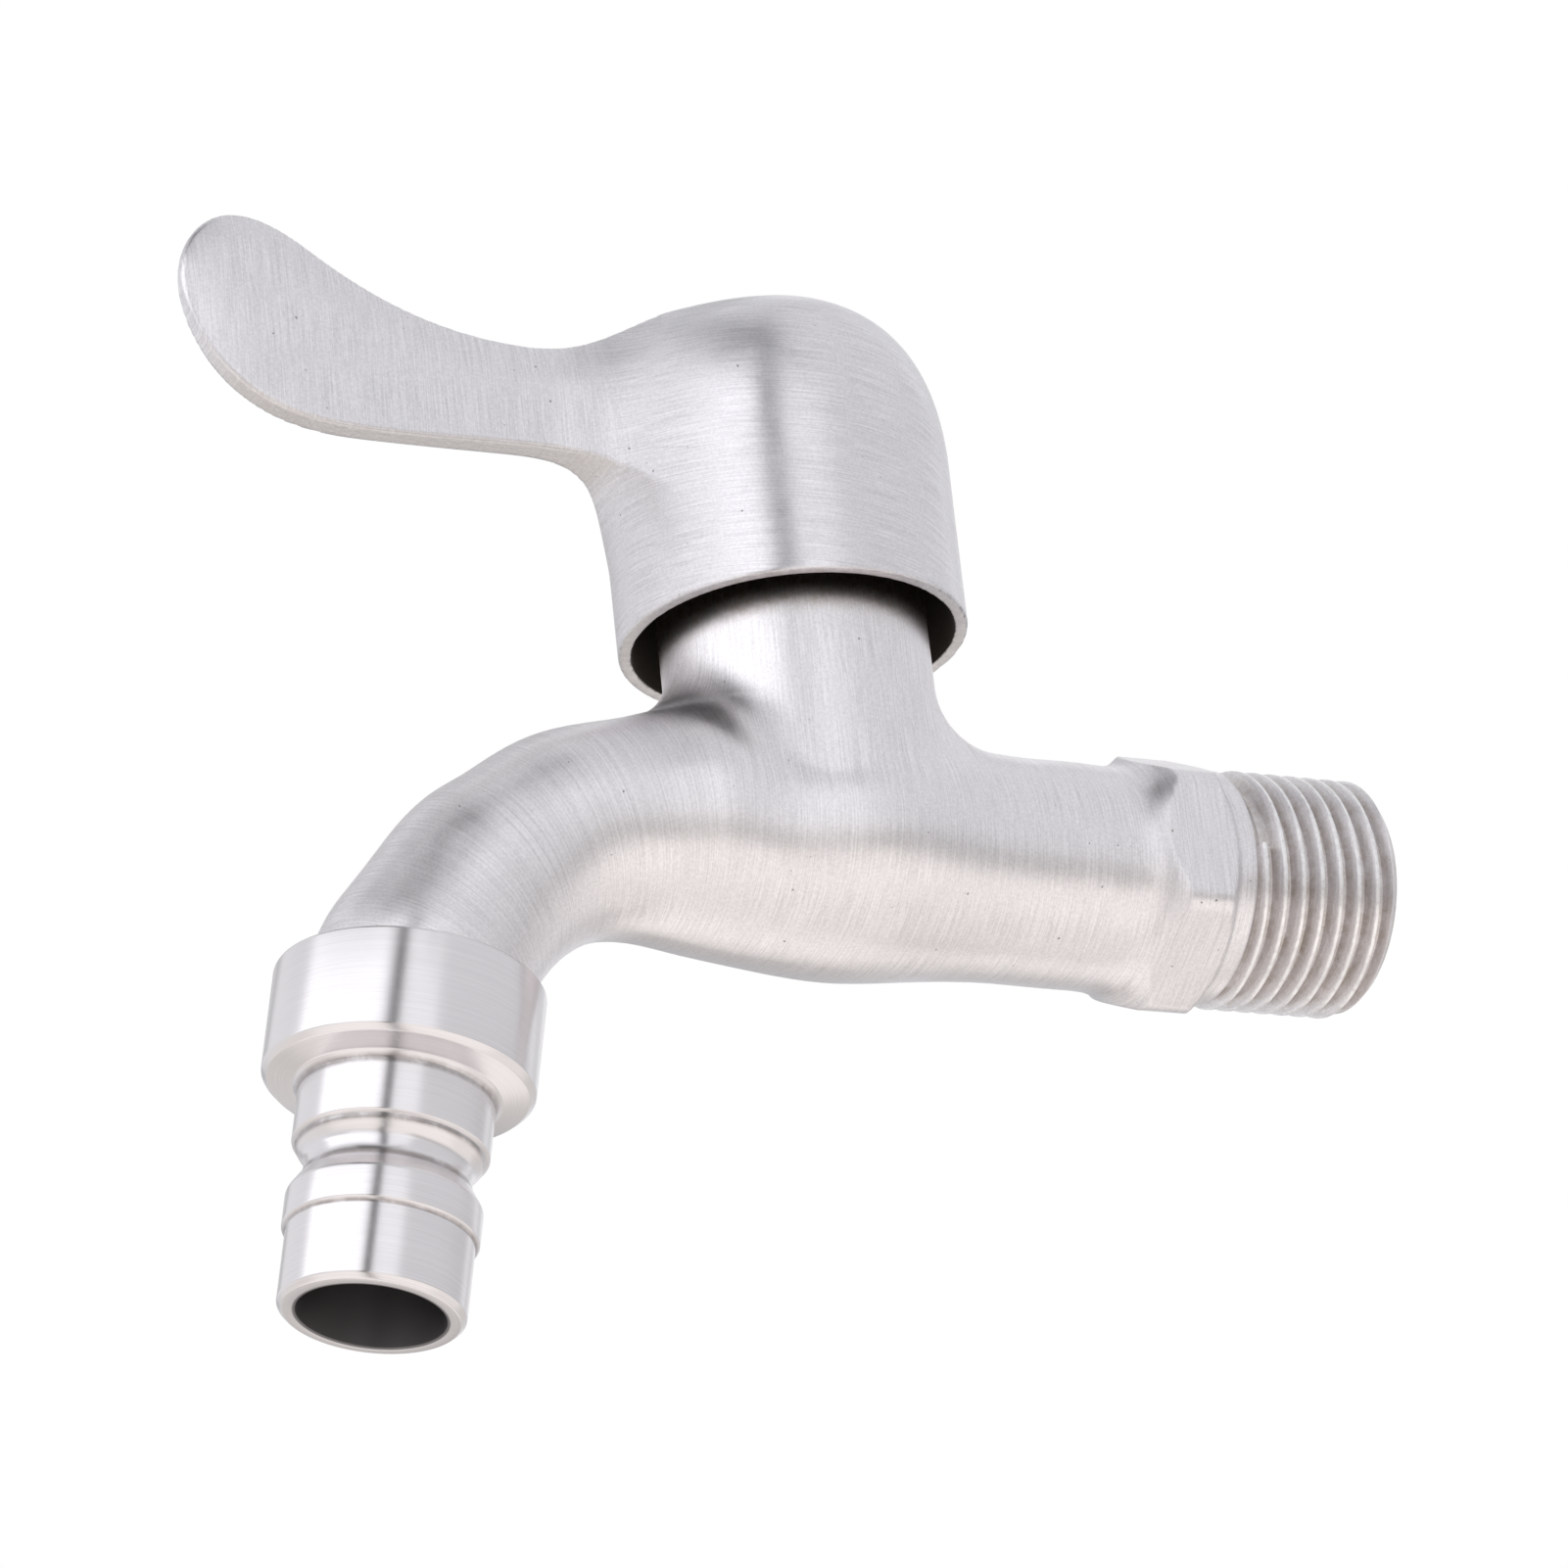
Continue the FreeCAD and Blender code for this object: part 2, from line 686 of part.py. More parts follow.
pieces = {
    "body": body,
    "nozzle": nozzle,
    "nozzle_washer": nozzle_washer,
    "disc_seal": disc_seal,
    "seal_support": seal_support,
    "fixed_disc": fixed_disc,
    "moving_disc": moving_disc,
    "cartridge_housing": cartridge_housing,
    "housing_gasket": housing_gasket,
    "wear_washer": wear_washer,
    "spindle": spindle,
    "spindle_o_ring_lower": lambda: spindle_o_ring(o_ring_lower_z),
    "spindle_o_ring_upper": lambda: spindle_o_ring(o_ring_upper_z),
    "snap_ring": snap_ring,
    "handle": handle,
    "handle_bush": handle_bush,
    "handle_grub_screw": handle_grub_screw,
}

os.makedirs("parts", exist_ok=True)
for name, make in pieces.items():
    shape = make()
    shape.translate(Y * -reach)
    shape.exportStep("parts/" + name + ".step")
    print(name, shape.isValid(), len(shape.Solids), round(shape.Volume, 1))
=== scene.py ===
"""Wall-mounted garden tap in brushed stainless steel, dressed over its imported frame.

Lengths are in millimetres unless a note says otherwise, in the finishes too; meshes are made in metres.
The frame's origin is the centre of the inlet's end face: +Y to the wall, -Y to the spout, +Z up.
"""

import json
import logging
import math
from dataclasses import dataclass
from enum import Enum
from typing import Callable, Optional, Sequence, Union

import bpy
import numpy as np
from mathutils import Matrix, Vector


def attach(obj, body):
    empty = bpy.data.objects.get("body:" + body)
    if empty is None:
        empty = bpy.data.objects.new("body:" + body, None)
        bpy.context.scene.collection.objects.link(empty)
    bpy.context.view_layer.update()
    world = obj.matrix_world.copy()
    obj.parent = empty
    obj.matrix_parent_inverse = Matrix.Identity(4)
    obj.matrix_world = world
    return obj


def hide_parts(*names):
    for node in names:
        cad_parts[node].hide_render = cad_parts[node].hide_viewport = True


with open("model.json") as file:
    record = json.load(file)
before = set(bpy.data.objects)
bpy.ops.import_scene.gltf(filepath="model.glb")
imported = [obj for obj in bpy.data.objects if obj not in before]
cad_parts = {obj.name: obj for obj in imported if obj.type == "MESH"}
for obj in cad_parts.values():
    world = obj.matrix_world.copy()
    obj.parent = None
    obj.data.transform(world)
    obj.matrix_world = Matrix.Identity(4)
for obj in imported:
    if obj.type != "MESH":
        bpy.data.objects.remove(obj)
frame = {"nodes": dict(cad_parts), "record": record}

log = logging.getLogger("garden_tap")

# One millimetre in metres
MM = 0.001
# Distance from the inlet's end face to the handle's axis
REACH = 51.1
# Range that most values of a noise lie in
SWING = (0.25, 0.75)

Socket = bpy.types.NodeSocket
Number = Union[float, Socket]
Colour = tuple[float, float, float]
Pair = tuple[float, float]
# Low and high value of a smooth step, then its results at low and high
Levels = tuple[float, float, float, float]


class Body(str, Enum):
    """The two bodies that the handle's joint connects."""

    FIXED = "tap_body"
    TURNING = "turning_handle"


class Slot(str, Enum):
    """Material slots of the record."""

    CAST = "cast_steel"
    TURNED = "turned_steel"
    BRASS = "valve_brass"
    CERAMIC = "disc_ceramic"
    RUBBER = "seal_rubber"
    PLASTIC = "valve_plastic"


class Finish:
    """Node tree of one material, with short calls for the nodes that the finishes share."""

    def __init__(self, name: str) -> None:
        """Makes an empty finish that reads the surface point in millimetres.

        Args:
            name: The material's name.
        """
        self.material = bpy.data.materials.new(name)
        self.material.use_nodes = True
        self.tree = self.material.node_tree
        self.shader = self.tree.nodes["Principled BSDF"]
        source = self.node("TexCoord", {})
        self.facing = source.outputs["Normal"]
        scaled = self.node("VectorMath", {0: source.outputs["Object"], "Scale": 1 / MM}, operation="SCALE")
        self.place = scaled.outputs[0]

    def feed(self, socket: Socket, value: Number | Colour) -> None:
        """Links a socket to another, or sets its value.

        Args:
            socket: The input that is fed.
            value: The output that it is linked to, or its value.
        """
        if isinstance(value, Socket):
            self.tree.links.new(value, socket)
        elif socket.type == "RGBA":
            socket.default_value = (*value, 1.0)
        else:
            socket.default_value = value

    def node(self, kind: str, inputs: dict[int | str, Number | Colour], **settings: str) -> bpy.types.Node:
        """New node.

        Args:
            kind: The node's type, without what all shader nodes' types start with.
            inputs: Links and values by the input's number or name.
            settings: The node's own settings, made first.

        Returns:
            The node.
        """
        node = self.tree.nodes.new("ShaderNode" + kind)
        for name, choice in settings.items():
            setattr(node, name, choice)
        for key, value in inputs.items():
            self.feed(node.inputs[key], value)
        return node

    def step(self, operation: str, a: Number, b: Number = 0.0) -> Socket:
        """Result of one arithmetic step, named as the Math node names it."""
        return self.node("Math", {0: a, 1: b}, operation=operation).outputs[0]

    def times(self, a: Number, b: Number) -> Socket:
        """Product of two numbers."""
        return self.step("MULTIPLY", a, b)

    def plus(self, a: Number, b: Number) -> Socket:
        """Sum of two numbers."""
        return self.step("ADD", a, b)

    def less(self, a: Number, b: Number) -> Socket:
        """The first number less the second."""
        return self.step("SUBTRACT", a, b)

    def apart(self, a: Number, b: Number) -> Socket:
        """How far two numbers are apart."""
        return self.step("ABSOLUTE", self.less(a, b))

    def radius(self, a: Number, b: Number) -> Socket:
        """Square root of the sum of two squares."""
        return self.step("SQRT", self.plus(self.times(a, a), self.times(b, b)))

    def axes(self, vector: Optional[Socket] = None) -> list[Socket]:
        """X, Y and Z of a vector, or of the place that the finish reads."""
        return list(self.node("SeparateXYZ", {0: self.place if vector is None else vector}).outputs)

    def point(self, x: Number, y: Number, z: Number) -> Socket:
        """Vector made of three numbers."""
        return self.node("CombineXYZ", {0: x, 1: y, 2: z}).outputs[0]

    def noise(self, where: Socket, wave: float, detail: float = 2.0, roughness: float = 0.5) -> Socket:
        """Smooth random value around 0.5.

        Args:
            where: Vector that the pattern is read at.
            wave: Length of a wave in that vector's units.
            detail: Octaves of finer waves.
            roughness: Strength of each finer octave.

        Returns:
            The value's socket.
        """
        inputs = {"Vector": where, "Scale": 1 / wave, "Detail": detail, "Roughness": roughness}
        return self.node("TexNoise", inputs).outputs["Fac"]

    def ease(self, value: Number, low: float, high: float, start: float = 0.0, end: float = 1.0) -> Socket:
        """Smooth step of a value.

        Args:
            value: The number that is mapped.
            low: Value at which the result is start.
            high: Value at which the result is end.
            start: Result at low.
            end: Result at high.

        Returns:
            The mapped value's socket.
        """
        inputs = {"Value": value, "From Min": low, "From Max": high, "To Min": start, "To Max": end}
        return self.node("MapRange", inputs, interpolation_type="SMOOTHSTEP").outputs[0]

    def mix(self, share: Number, a: Number, b: Number) -> Socket:
        """Number between a, at share 0, and b, at share 1."""
        return self.node("Mix", {0: share, 2: a, 3: b}, data_type="FLOAT").outputs[0]

    def tint(self, share: Number, a: Number | Colour, b: Number | Colour) -> Socket:
        """Colour between a, at share 0, and b, at share 1."""
        return self.node("Mix", {0: share, 6: a, 7: b}, data_type="RGBA").outputs[2]

    def shaded(self, colour: Number | Colour, value: Socket) -> Socket:
        """Colour made brighter or darker by a factor."""
        return self.node("HueSaturation", {"Color": colour, "Value": value}).outputs[0]

    def relief(self, height: Socket, depth: float, under: Optional[Socket] = None) -> Socket:
        """Surface relief.

        Args:
            height: Height from 0 to 1.
            depth: Depth between the two.
            under: Normal of the relief that this one lies on.

        Returns:
            The normal's socket.
        """
        inputs = {"Height": height, "Distance": depth * MM}
        if under is not None:
            inputs["Normal"] = under
        return self.node("Bump", inputs).outputs[0]

    def stretch(self, amount: float, direction: Socket) -> None:
        """Stretches the reflections along a direction.

        Args:
            amount: Strength of the stretch, from 0 to 1.
            direction: Direction in the object's own frame, square to its brush lines.
        """
        self.shader.inputs["Anisotropic"].default_value = amount
        turn = self.node("VectorTransform", {0: direction}, vector_type="VECTOR", convert_from="OBJECT",
                         convert_to="WORLD")
        self.feed(self.shader.inputs["Tangent"], turn.outputs[0])

    def wear(self, colour: Number | Colour, metal: float, rough: Number,
             normal: Optional[Socket] = None) -> bpy.types.Material:
        """Sets the shader and gives the finished material.

        Args:
            colour: Base colour.
            metal: 1 for metal, 0 for the rest.
            rough: Roughness.
            normal: Relief of the surface.

        Returns:
            The material.
        """
        for name, value in (("Base Color", colour), ("Metallic", metal), ("Roughness", rough)):
            self.feed(self.shader.inputs[name], value)
        if normal is not None:
            self.feed(self.shader.inputs["Normal"], normal)
        return self.material


@dataclass(frozen=True)
class Marks:
    """Where a finish departs from plain brushed metal, each as a share from 0 to 1.

    The last one is the radius, in millimetres, that softens the edges.
    """

    # Share painted in shade with the shadow colour: the inlet's bore and the dome's inside
    painted_shade: Number = 0.0
    cast: Number = 0.0
    # Share of tan soiling with painted shade, in the thread and under the dome
    dirt_and_shade: Number = 0.0
    matte: Number = 0.0
    # Share of painted highlight glints on the thread's crests
    painted_highlight: Number = 0.0
    soft: Number = 0.3


@dataclass(frozen=True)
class BrushedCasting:
    """Satin brushed stainless casting: fine parallel lines whose direction follows the surface."""

    steel: Colour = (0.772, 0.758, 0.786)
    pit: Colour = (0.36, 0.34, 0.32)
    # Tan of the soiling and painted shade in the thread and under the dome
    dirt_and_shade_tint: Colour = (0.52, 0.46, 0.41)
    skin: Colour = (0.54, 0.515, 0.495)
    # Pale colour of the painted highlight glints on the thread's crests
    crest_highlight: Colour = (0.93, 0.92, 0.925)
    shadow: Colour = (0.075, 0.066, 0.058)
    line_pitch: float = 0.13
    line_length: float = 6.0
    line_depth: float = 0.0082
    streak: float = 0.125
    scratch_pitch: float = 0.55
    scratch_length: float = 11.0
    scratch_slant: float = 0.18
    scratch_layer: float = 7.0
    scratch_levels: Levels = (0.60, 0.72, 0.0, 0.22)
    cast_wave: float = 8.0
    cast_depth: float = 0.038
    haze_wave: float = 3.5
    haze_shade: float = 0.96
    grain_wave: float = 0.45
    tooth_wave: float = 0.24
    pit_wave: float = 0.55
    pit_levels: Pair = (0.79, 0.82)
    pit_depth: float = 0.05
    dirt_levels: Levels = (0.25, 0.75, 0.45, 0.95)
    skin_levels: Levels = (0.30, 0.75, 0.30, 0.60)
    rough_low: float = 0.29
    rough_high: float = 0.36
    rough_matte: float = 0.50
    rough_dark: float = 0.75
    stain_matte: float = 0.35
    pull: float = 0.6

    def strokes(self, sheet: Finish, across: Number, along: Number) -> Socket:
        """Brush lines with longer scratches across them at a small angle.

        Args:
            sheet: The finish that takes the nodes.
            across: Distance square to the lines.
            along: Distance along the lines.

        Returns:
            Height of the lines from 0 to 1.
        """
        fine = sheet.point(sheet.times(across, 1 / self.line_pitch),
                           sheet.times(along, 1 / self.line_length), 0.0)
        aslant = sheet.plus(across, sheet.times(along, self.scratch_slant))
        coarse = sheet.point(sheet.times(aslant, 1 / self.scratch_pitch),
                             sheet.times(along, 1 / self.scratch_length), self.scratch_layer)
        scratches = sheet.ease(sheet.noise(coarse, 1.0, detail=4.0, roughness=0.75), *self.scratch_levels)
        return sheet.less(sheet.noise(fine, 1.0, detail=3.0, roughness=0.65), scratches)

    def finish(self, sheet: Finish, lines: Socket, marks: Marks) -> bpy.types.Material:
        """Casting with its lines, waves, pits, stains and unpolished places, and its painted shade and
        painted highlights.

        Args:
            sheet: The finish that takes the nodes.
            lines: Height of the brush lines.
            marks: Where the metal departs from plain brushed steel.

        Returns:
            The material.
        """
        wave = sheet.noise(sheet.place, self.cast_wave)
        haze = sheet.noise(sheet.place, self.haze_wave, detail=3.0, roughness=0.6)
        grain = sheet.noise(sheet.place, self.grain_wave, detail=3.0, roughness=0.7)
        tooth = sheet.noise(sheet.place, self.tooth_wave, detail=1.0)
        pits = sheet.ease(sheet.noise(sheet.place, self.pit_wave, detail=1.0), *self.pit_levels)
        hazy = sheet.tint(haze, tuple(part * self.haze_shade for part in self.steel), self.steel)
        streaks = sheet.ease(lines, *SWING, -self.streak, self.streak)
        value = sheet.plus(streaks, sheet.ease(tooth, *SWING, 1 - self.streak / 2, 1 + self.streak / 2))
        colour = sheet.shaded(sheet.tint(pits, hazy, self.pit), value)
        # Tan soiling with painted shade, in patches
        dirt_and_shade_share = sheet.times(marks.dirt_and_shade, sheet.ease(grain, *self.dirt_levels))
        as_cast = sheet.times(marks.cast, sheet.ease(grain, *self.skin_levels))
        # Over the steel: soiling with painted shade, as-cast skin, painted highlight glints, then painted
        # shade
        layers = ((dirt_and_shade_share, self.dirt_and_shade_tint), (as_cast, self.skin),
                  (marks.painted_highlight, self.crest_highlight), (marks.painted_shade, self.shadow))
        for share, layer in layers:
            colour = sheet.tint(share, colour, layer)
        rough = sheet.mix(sheet.ease(haze, *SWING), self.rough_low, self.rough_high)
        matte = sheet.step("MAXIMUM", marks.matte, sheet.times(marks.dirt_and_shade, self.stain_matte))
        rough = sheet.mix(matte, rough, self.rough_matte)
        rough = sheet.mix(marks.painted_shade, rough, self.rough_dark)
        soft = sheet.node("Bevel", {"Radius": sheet.times(marks.soft, MM)}).outputs[0]
        normal = sheet.relief(wave, self.cast_depth, soft)
        normal = sheet.relief(lines, self.line_depth, normal)
        rugged = sheet.less(sheet.times(grain, marks.cast), pits)
        return sheet.wear(colour, 1.0, rough, sheet.relief(rugged, self.pit_depth, normal))


@dataclass(frozen=True)
class TurnedSteel:
    """Satin turned steel with fine lathe lines round an axis, painted shade in the bore and soiling with
    painted shade in its corners.
    """

    steel: Colour = (0.765, 0.746, 0.765)
    # Painted shade in the bore
    bore: Colour = (0.21, 0.20, 0.205)
    # Soiling with painted shade in the corners
    grime_and_shade: Colour = (0.30, 0.27, 0.26)
    feed_pitch: float = 0.13
    line_length: float = 16.667
    line_depth: float = 0.0026
    line_levels: Levels = (*SWING, 0.955, 1.03)
    haze_wave: float = 2.6
    grime_and_shade_levels: Levels = (0.30, 0.60, 0.25, 0.75)
    bore_edge: Pair = (0.35, 0.15)
    rough_low: float = 0.19
    rough_high: float = 0.27
    rough_bore: float = 0.50
    pull: float = 0.55

    def finish(self, sheet: Finish, height: Socket, radius: Socket, bore_r: float,
               corners: Sequence[Pair]) -> bpy.types.Material:
        """Lathe lines as a noise that the place along the outline drives.

        Args:
            sheet: The finish that takes the nodes.
            height: Distance along the axis.
            radius: Distance from the axis.
            bore_r: Radius of the bore, painted in shade.
            corners: Height and half width of each darker line in a corner, soiling with painted shade.

        Returns:
            The material.
        """
        x, y, _ = sheet.axes()
        face = sheet.times(sheet.plus(height, radius), 1 / self.feed_pitch)
        around = sheet.point(face, sheet.times(x, 1 / self.line_length), sheet.times(y, 1 / self.line_length))
        lines = sheet.noise(around, 1.0, detail=4.0, roughness=0.7)
        haze = sheet.noise(sheet.place, self.haze_wave, detail=4.0, roughness=0.65)
        # Bore painted in shade
        inside = sheet.ease(radius, *(bore_r + edge for edge in self.bore_edge))
        # Soiling with painted shade in the corners
        dim: Number = 0.0
        for middle, half in corners:
            dim = sheet.step("MAXIMUM", dim, sheet.ease(sheet.apart(height, middle), 2 * half, 0.4 * half))
        dim = sheet.times(dim, sheet.ease(haze, *self.grime_and_shade_levels))
        colour = sheet.shaded(self.steel, sheet.ease(lines, *self.line_levels))
        colour = sheet.tint(inside, sheet.tint(dim, colour, self.grime_and_shade), self.bore)
        rough = sheet.mix(inside, sheet.mix(haze, self.rough_low, self.rough_high), self.rough_bore)
        return sheet.wear(colour, 1.0, rough, sheet.relief(lines, self.line_depth))


@dataclass(frozen=True)
class HiddenFinish:
    """Plain workshop finish of an inner piece: a cloudy colour with fine marks."""

    slot: Slot
    name: str
    colour: Colour
    second: Colour
    metal: float
    rough: float
    grain: float
    depth: float
    cloud_wave: float = 2.2
    rough_swing: float = 0.06

    def material(self) -> bpy.types.Material:
        """Makes the finish.

        Returns:
            The material, whose marks swing the roughness about its middle.
        """
        sheet = Finish(self.name)
        cloud = sheet.noise(sheet.place, self.cloud_wave, detail=3.0)
        marks = sheet.noise(sheet.place, self.grain, detail=3.0, roughness=0.7)
        rough = sheet.mix(marks, self.rough - self.rough_swing, self.rough + self.rough_swing)
        return sheet.wear(sheet.tint(cloud, self.colour, self.second), self.metal, rough,
                          sheet.relief(marks, self.depth))


def dress(thing: bpy.types.Object, material: bpy.types.Material) -> None:
    """Gives an object's every material slot one material.

    Args:
        thing: The object.
        material: Its finish.
    """
    if not thing.material_slots:
        thing.data.materials.append(material)
    for holder in thing.material_slots:
        holder.material = material


def mesh_piece(name: str, points: np.ndarray, faces: np.ndarray, material: bpy.types.Material,
               body: Body, node: str) -> bpy.types.Object:
    """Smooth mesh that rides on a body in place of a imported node.

    Args:
        name: The piece's name.
        points: Corners in metres, one row each.
        faces: Corner numbers of a face per row.
        material: Its finish.
        body: The body that it moves with.
        node: The node that it replaces.

    Returns:
        The piece.
    """
    mesh = bpy.data.meshes.new(name)
    mesh.from_pydata(points.tolist(), [], faces.tolist())
    mesh.validate()
    mesh.shade_smooth()
    piece = bpy.data.objects.new(name, mesh)
    bpy.context.scene.collection.objects.link(piece)
    dress(piece, material)
    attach(piece, body.value)
    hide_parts(node)
    log.info("%s: %d faces in place of %s", name, len(faces), node)
    return piece


def packed_copy(node: str) -> tuple[np.ndarray, np.ndarray, np.ndarray]:
    """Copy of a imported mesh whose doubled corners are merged.

    Args:
        node: The node's name.

    Returns:
        The points in metres, the three corners of each face and the normal at each of these corners.
    """
    mesh = frame["nodes"][node].data
    points = np.empty(3 * len(mesh.vertices))
    mesh.vertices.foreach_get("co", points)
    corners = np.empty(len(mesh.loops), dtype=int)
    mesh.loops.foreach_get("vertex_index", corners)
    normals = np.empty(3 * len(mesh.loops))
    mesh.corner_normals.foreach_get("vector", normals)
    places, merged = np.unique(np.round(points.reshape(-1, 3), 7), axis=0, return_inverse=True)
    faces = merged.reshape(-1)[corners].reshape(-1, 3)
    whole = (faces != np.roll(faces, 1, axis=1)).all(axis=1)
    return places, faces[whole], normals.reshape(-1, 3, 3)[whole]


def rounded_outline(corners: Sequence[tuple[float, float, float]], steps: int = 5) -> np.ndarray:
    """Closed outline whose corners are rounded.

    Each corner is swapped for a quadratic Bezier curve that starts and ends at its rounding length on
    the two sides that meet there, with the corner as the middle control point.

    Args:
        corners: Radius, height and rounding length of each corner, in order.
        steps: Points on each rounded corner.

    Returns:
        Radius and height of each point.
    """
    places = np.array([corner[:2] for corner in corners])
    lengths = np.array([corner[2] for corner in corners])[:, None]
    before = np.roll(places, 1, axis=0) - places
    after = np.roll(places, -1, axis=0) - places
    start = places + before / np.linalg.norm(before, axis=1)[:, None] * lengths
    end = places + after / np.linalg.norm(after, axis=1)[:, None] * lengths
    t = np.linspace(0, 1, steps)[None, :, None]
    curve = (1 - t) ** 2 * start[:, None] + 2 * t * (1 - t) * places[:, None] + t**2 * end[:, None]
    return curve.reshape(-1, 2)


def turned_grid(outline: np.ndarray, around: int) -> tuple[np.ndarray, np.ndarray]:
    """Closed surface turned about Z from a closed outline that keeps clear of the axis.

    The point at outline place (r, h) and angle a is (r cos a, r sin a, h); both directions wrap round.

    Args:
        outline: Radius and height of each point, in order.
        around: Steps round the axis.

    Returns:
        The points and the four corners of each face.
    """
    angle = np.linspace(0, 2 * math.pi, around, endpoint=False)
    r, h = outline[:, 0][:, None], outline[:, 1][:, None]
    points = np.stack([r * np.cos(angle), r * np.sin(angle), h + 0 * angle], axis=-1)
    count = len(outline)
    i, j = np.meshgrid(np.arange(count), np.arange(around), indexing="ij")
    a, b = i * around + j, i * around + (j + 1) % around
    c, d = ((i + 1) % count) * around + (j + 1) % around, ((i + 1) % count) * around + j
    return points.reshape(-1, 3), np.stack([a, b, c, d], axis=-1).reshape(-1, 4)


Field = Callable[[np.ndarray], np.ndarray]


def joined(a: np.ndarray, b: np.ndarray, width: float) -> np.ndarray:
    """Signed distance to two bodies joined with a soft fillet.

    The result is the smaller distance, less a sixth of the fillet's width where the two are equal, and
    the difference fades with the cube of how far apart the two distances are.

    Args:
        a: Distances to one body, negative inside.
        b: Distances to the other.
        width: Width of the fillet.

    Returns:
        Distances to both together.
    """
    return np.minimum(a, b) - width / 6 * np.maximum(1 - np.abs(a - b) / width, 0) ** 3


def shared(a: np.ndarray, b: np.ndarray, width: float) -> np.ndarray:
    """Signed distance to what two bodies share, with the edge between them softened."""
    return -joined(-a, -b, width)


def slope(field: Field, points: np.ndarray, step: float = 0.06) -> np.ndarray:
    """Gradient of a field by central differences, one row per point."""
    moves = np.eye(3) * step
    return np.stack([field(points + move) - field(points - move) for move in moves], axis=-1) / (2 * step)


def net_surface(field: Field, low: Sequence[float], high: Sequence[float], cell: float,
                rounds: int = 3) -> tuple[np.ndarray, np.ndarray]:
    """Quads over the zero level of a field.

    The box is split into cubes. Each cube whose corners aren't all on one side gets a point, and each grid
    edge that crosses the surface gets a face between the four cubes round it. The points then move
    towards the mean of their neighbours and back to the surface, once a round.

    Args:
        field: Signed distance, negative inside.
        low: Lowest corner of the box.
        high: Highest corner.
        cell: Side of a cube.
        rounds: How often the points are evened.

    Returns:
        The points and the four corners of each face.
    """
    axes = [np.arange(a, b + cell, cell) for a, b in zip(low, high)]
    grid = np.stack(np.meshgrid(*axes, indexing="ij"), axis=-1)
    inside = (field(grid.reshape(-1, 3)) < 0).reshape(grid.shape[:3])
    cubes = [inside[i:i - 1 or None, j:j - 1 or None, k:k - 1 or None]
             for i in (0, 1) for j in (0, 1) for k in (0, 1)]
    mixed = np.logical_or.reduce(cubes) & ~np.logical_and.reduce(cubes)
    number = np.cumsum(mixed.ravel()).reshape(mixed.shape) - 1
    points = grid[:-1, :-1, :-1][mixed] + cell / 2
    faces = []
    for axis in range(3):
        first, second = np.eye(3, dtype=int)[(axis + 1) % 3], np.eye(3, dtype=int)[(axis + 2) % 3]
        near = np.take(inside, range(inside.shape[axis] - 1), axis)
        far = np.take(inside, range(1, inside.shape[axis]), axis)
        for place, order in ((near & ~far, 1), (far & ~near, -1)):
            where = np.argwhere(place)
            ring = [where - first - second, where - second, where, where - first]
            faces.append(np.stack([number[tuple(corner.T)] for corner in ring], axis=-1)[:, ::order])
    quads = np.concatenate(faces)
    for _ in range(rounds):
        points = settled(field, even(points, quads))
    return points, quads


def even(points: np.ndarray, quads: np.ndarray) -> np.ndarray:
    """Points moved half-way to the mean of their neighbours.

    Args:
        points: Points of the net.
        quads: The four corners of each face.

    Returns:
        The moved points.
    """
    total, count = np.zeros_like(points), np.zeros(len(points))
    for a, b in ((0, 1), (1, 2), (2, 3), (3, 0)):
        np.add.at(total, quads[:, a], points[quads[:, b]])
        np.add.at(total, quads[:, b], points[quads[:, a]])
        np.add.at(count, quads[:, a], 1)
        np.add.at(count, quads[:, b], 1)
    return (points + total / count[:, None]) / 2


def settled(field: Field, points: np.ndarray, rounds: int = 2, least: float = 0.2) -> np.ndarray:
    """Points moved along the field's gradient on to its zero level.

    Args:
        field: Signed distance.
        points: The points.
        rounds: How often they move.
        least: Least square of the gradient that is divided by.

    Returns:
        The moved points.
    """
    for _ in range(rounds):
        rise = slope(field, points)
        length = np.maximum((rise**2).sum(axis=1), least)
        points = points - rise * (field(points) / length)[:, None]
    return points


def smooth_path(places: Sequence[Pair], start: Sequence[float], end: Sequence[float],
                steps: int) -> np.ndarray:
    """Cubic spline through points, with even curvature at each and a given heading at both ends.

    Args:
        places: The points in order.
        start: Heading at the first point, as a unit vector.
        end: Heading at the last point.
        steps: Points made on each stretch.

    Returns:
        Points on the curve, one row each.
    """
    knots = np.array(places)
    gaps = np.linalg.norm(np.diff(knots, axis=0), axis=1)
    count = len(knots)
    system, right = np.eye(count), np.zeros((count, 2))
    right[0], right[-1] = start, end
    for i in range(1, count - 1):
        system[i, i - 1:i + 2] = gaps[i], 2 * (gaps[i - 1] + gaps[i]), gaps[i - 1]
        right[i] = 3 * (gaps[i] / gaps[i - 1] * (knots[i] - knots[i - 1])
                        + gaps[i - 1] / gaps[i] * (knots[i + 1] - knots[i]))
    heading = np.linalg.solve(system, right)
    t = np.linspace(0, 1, steps, endpoint=False)[None, :, None]
    gap = gaps[:, None, None]
    curve = ((2 * t**3 - 3 * t**2 + 1) * knots[:-1, None] + (t**3 - 2 * t**2 + t) * gap * heading[:-1, None]
             + (3 * t**2 - 2 * t**3) * knots[1:, None] + (t**3 - t**2) * gap * heading[1:, None])
    return np.concatenate([curve.reshape(-1, 2), knots[-1:]])


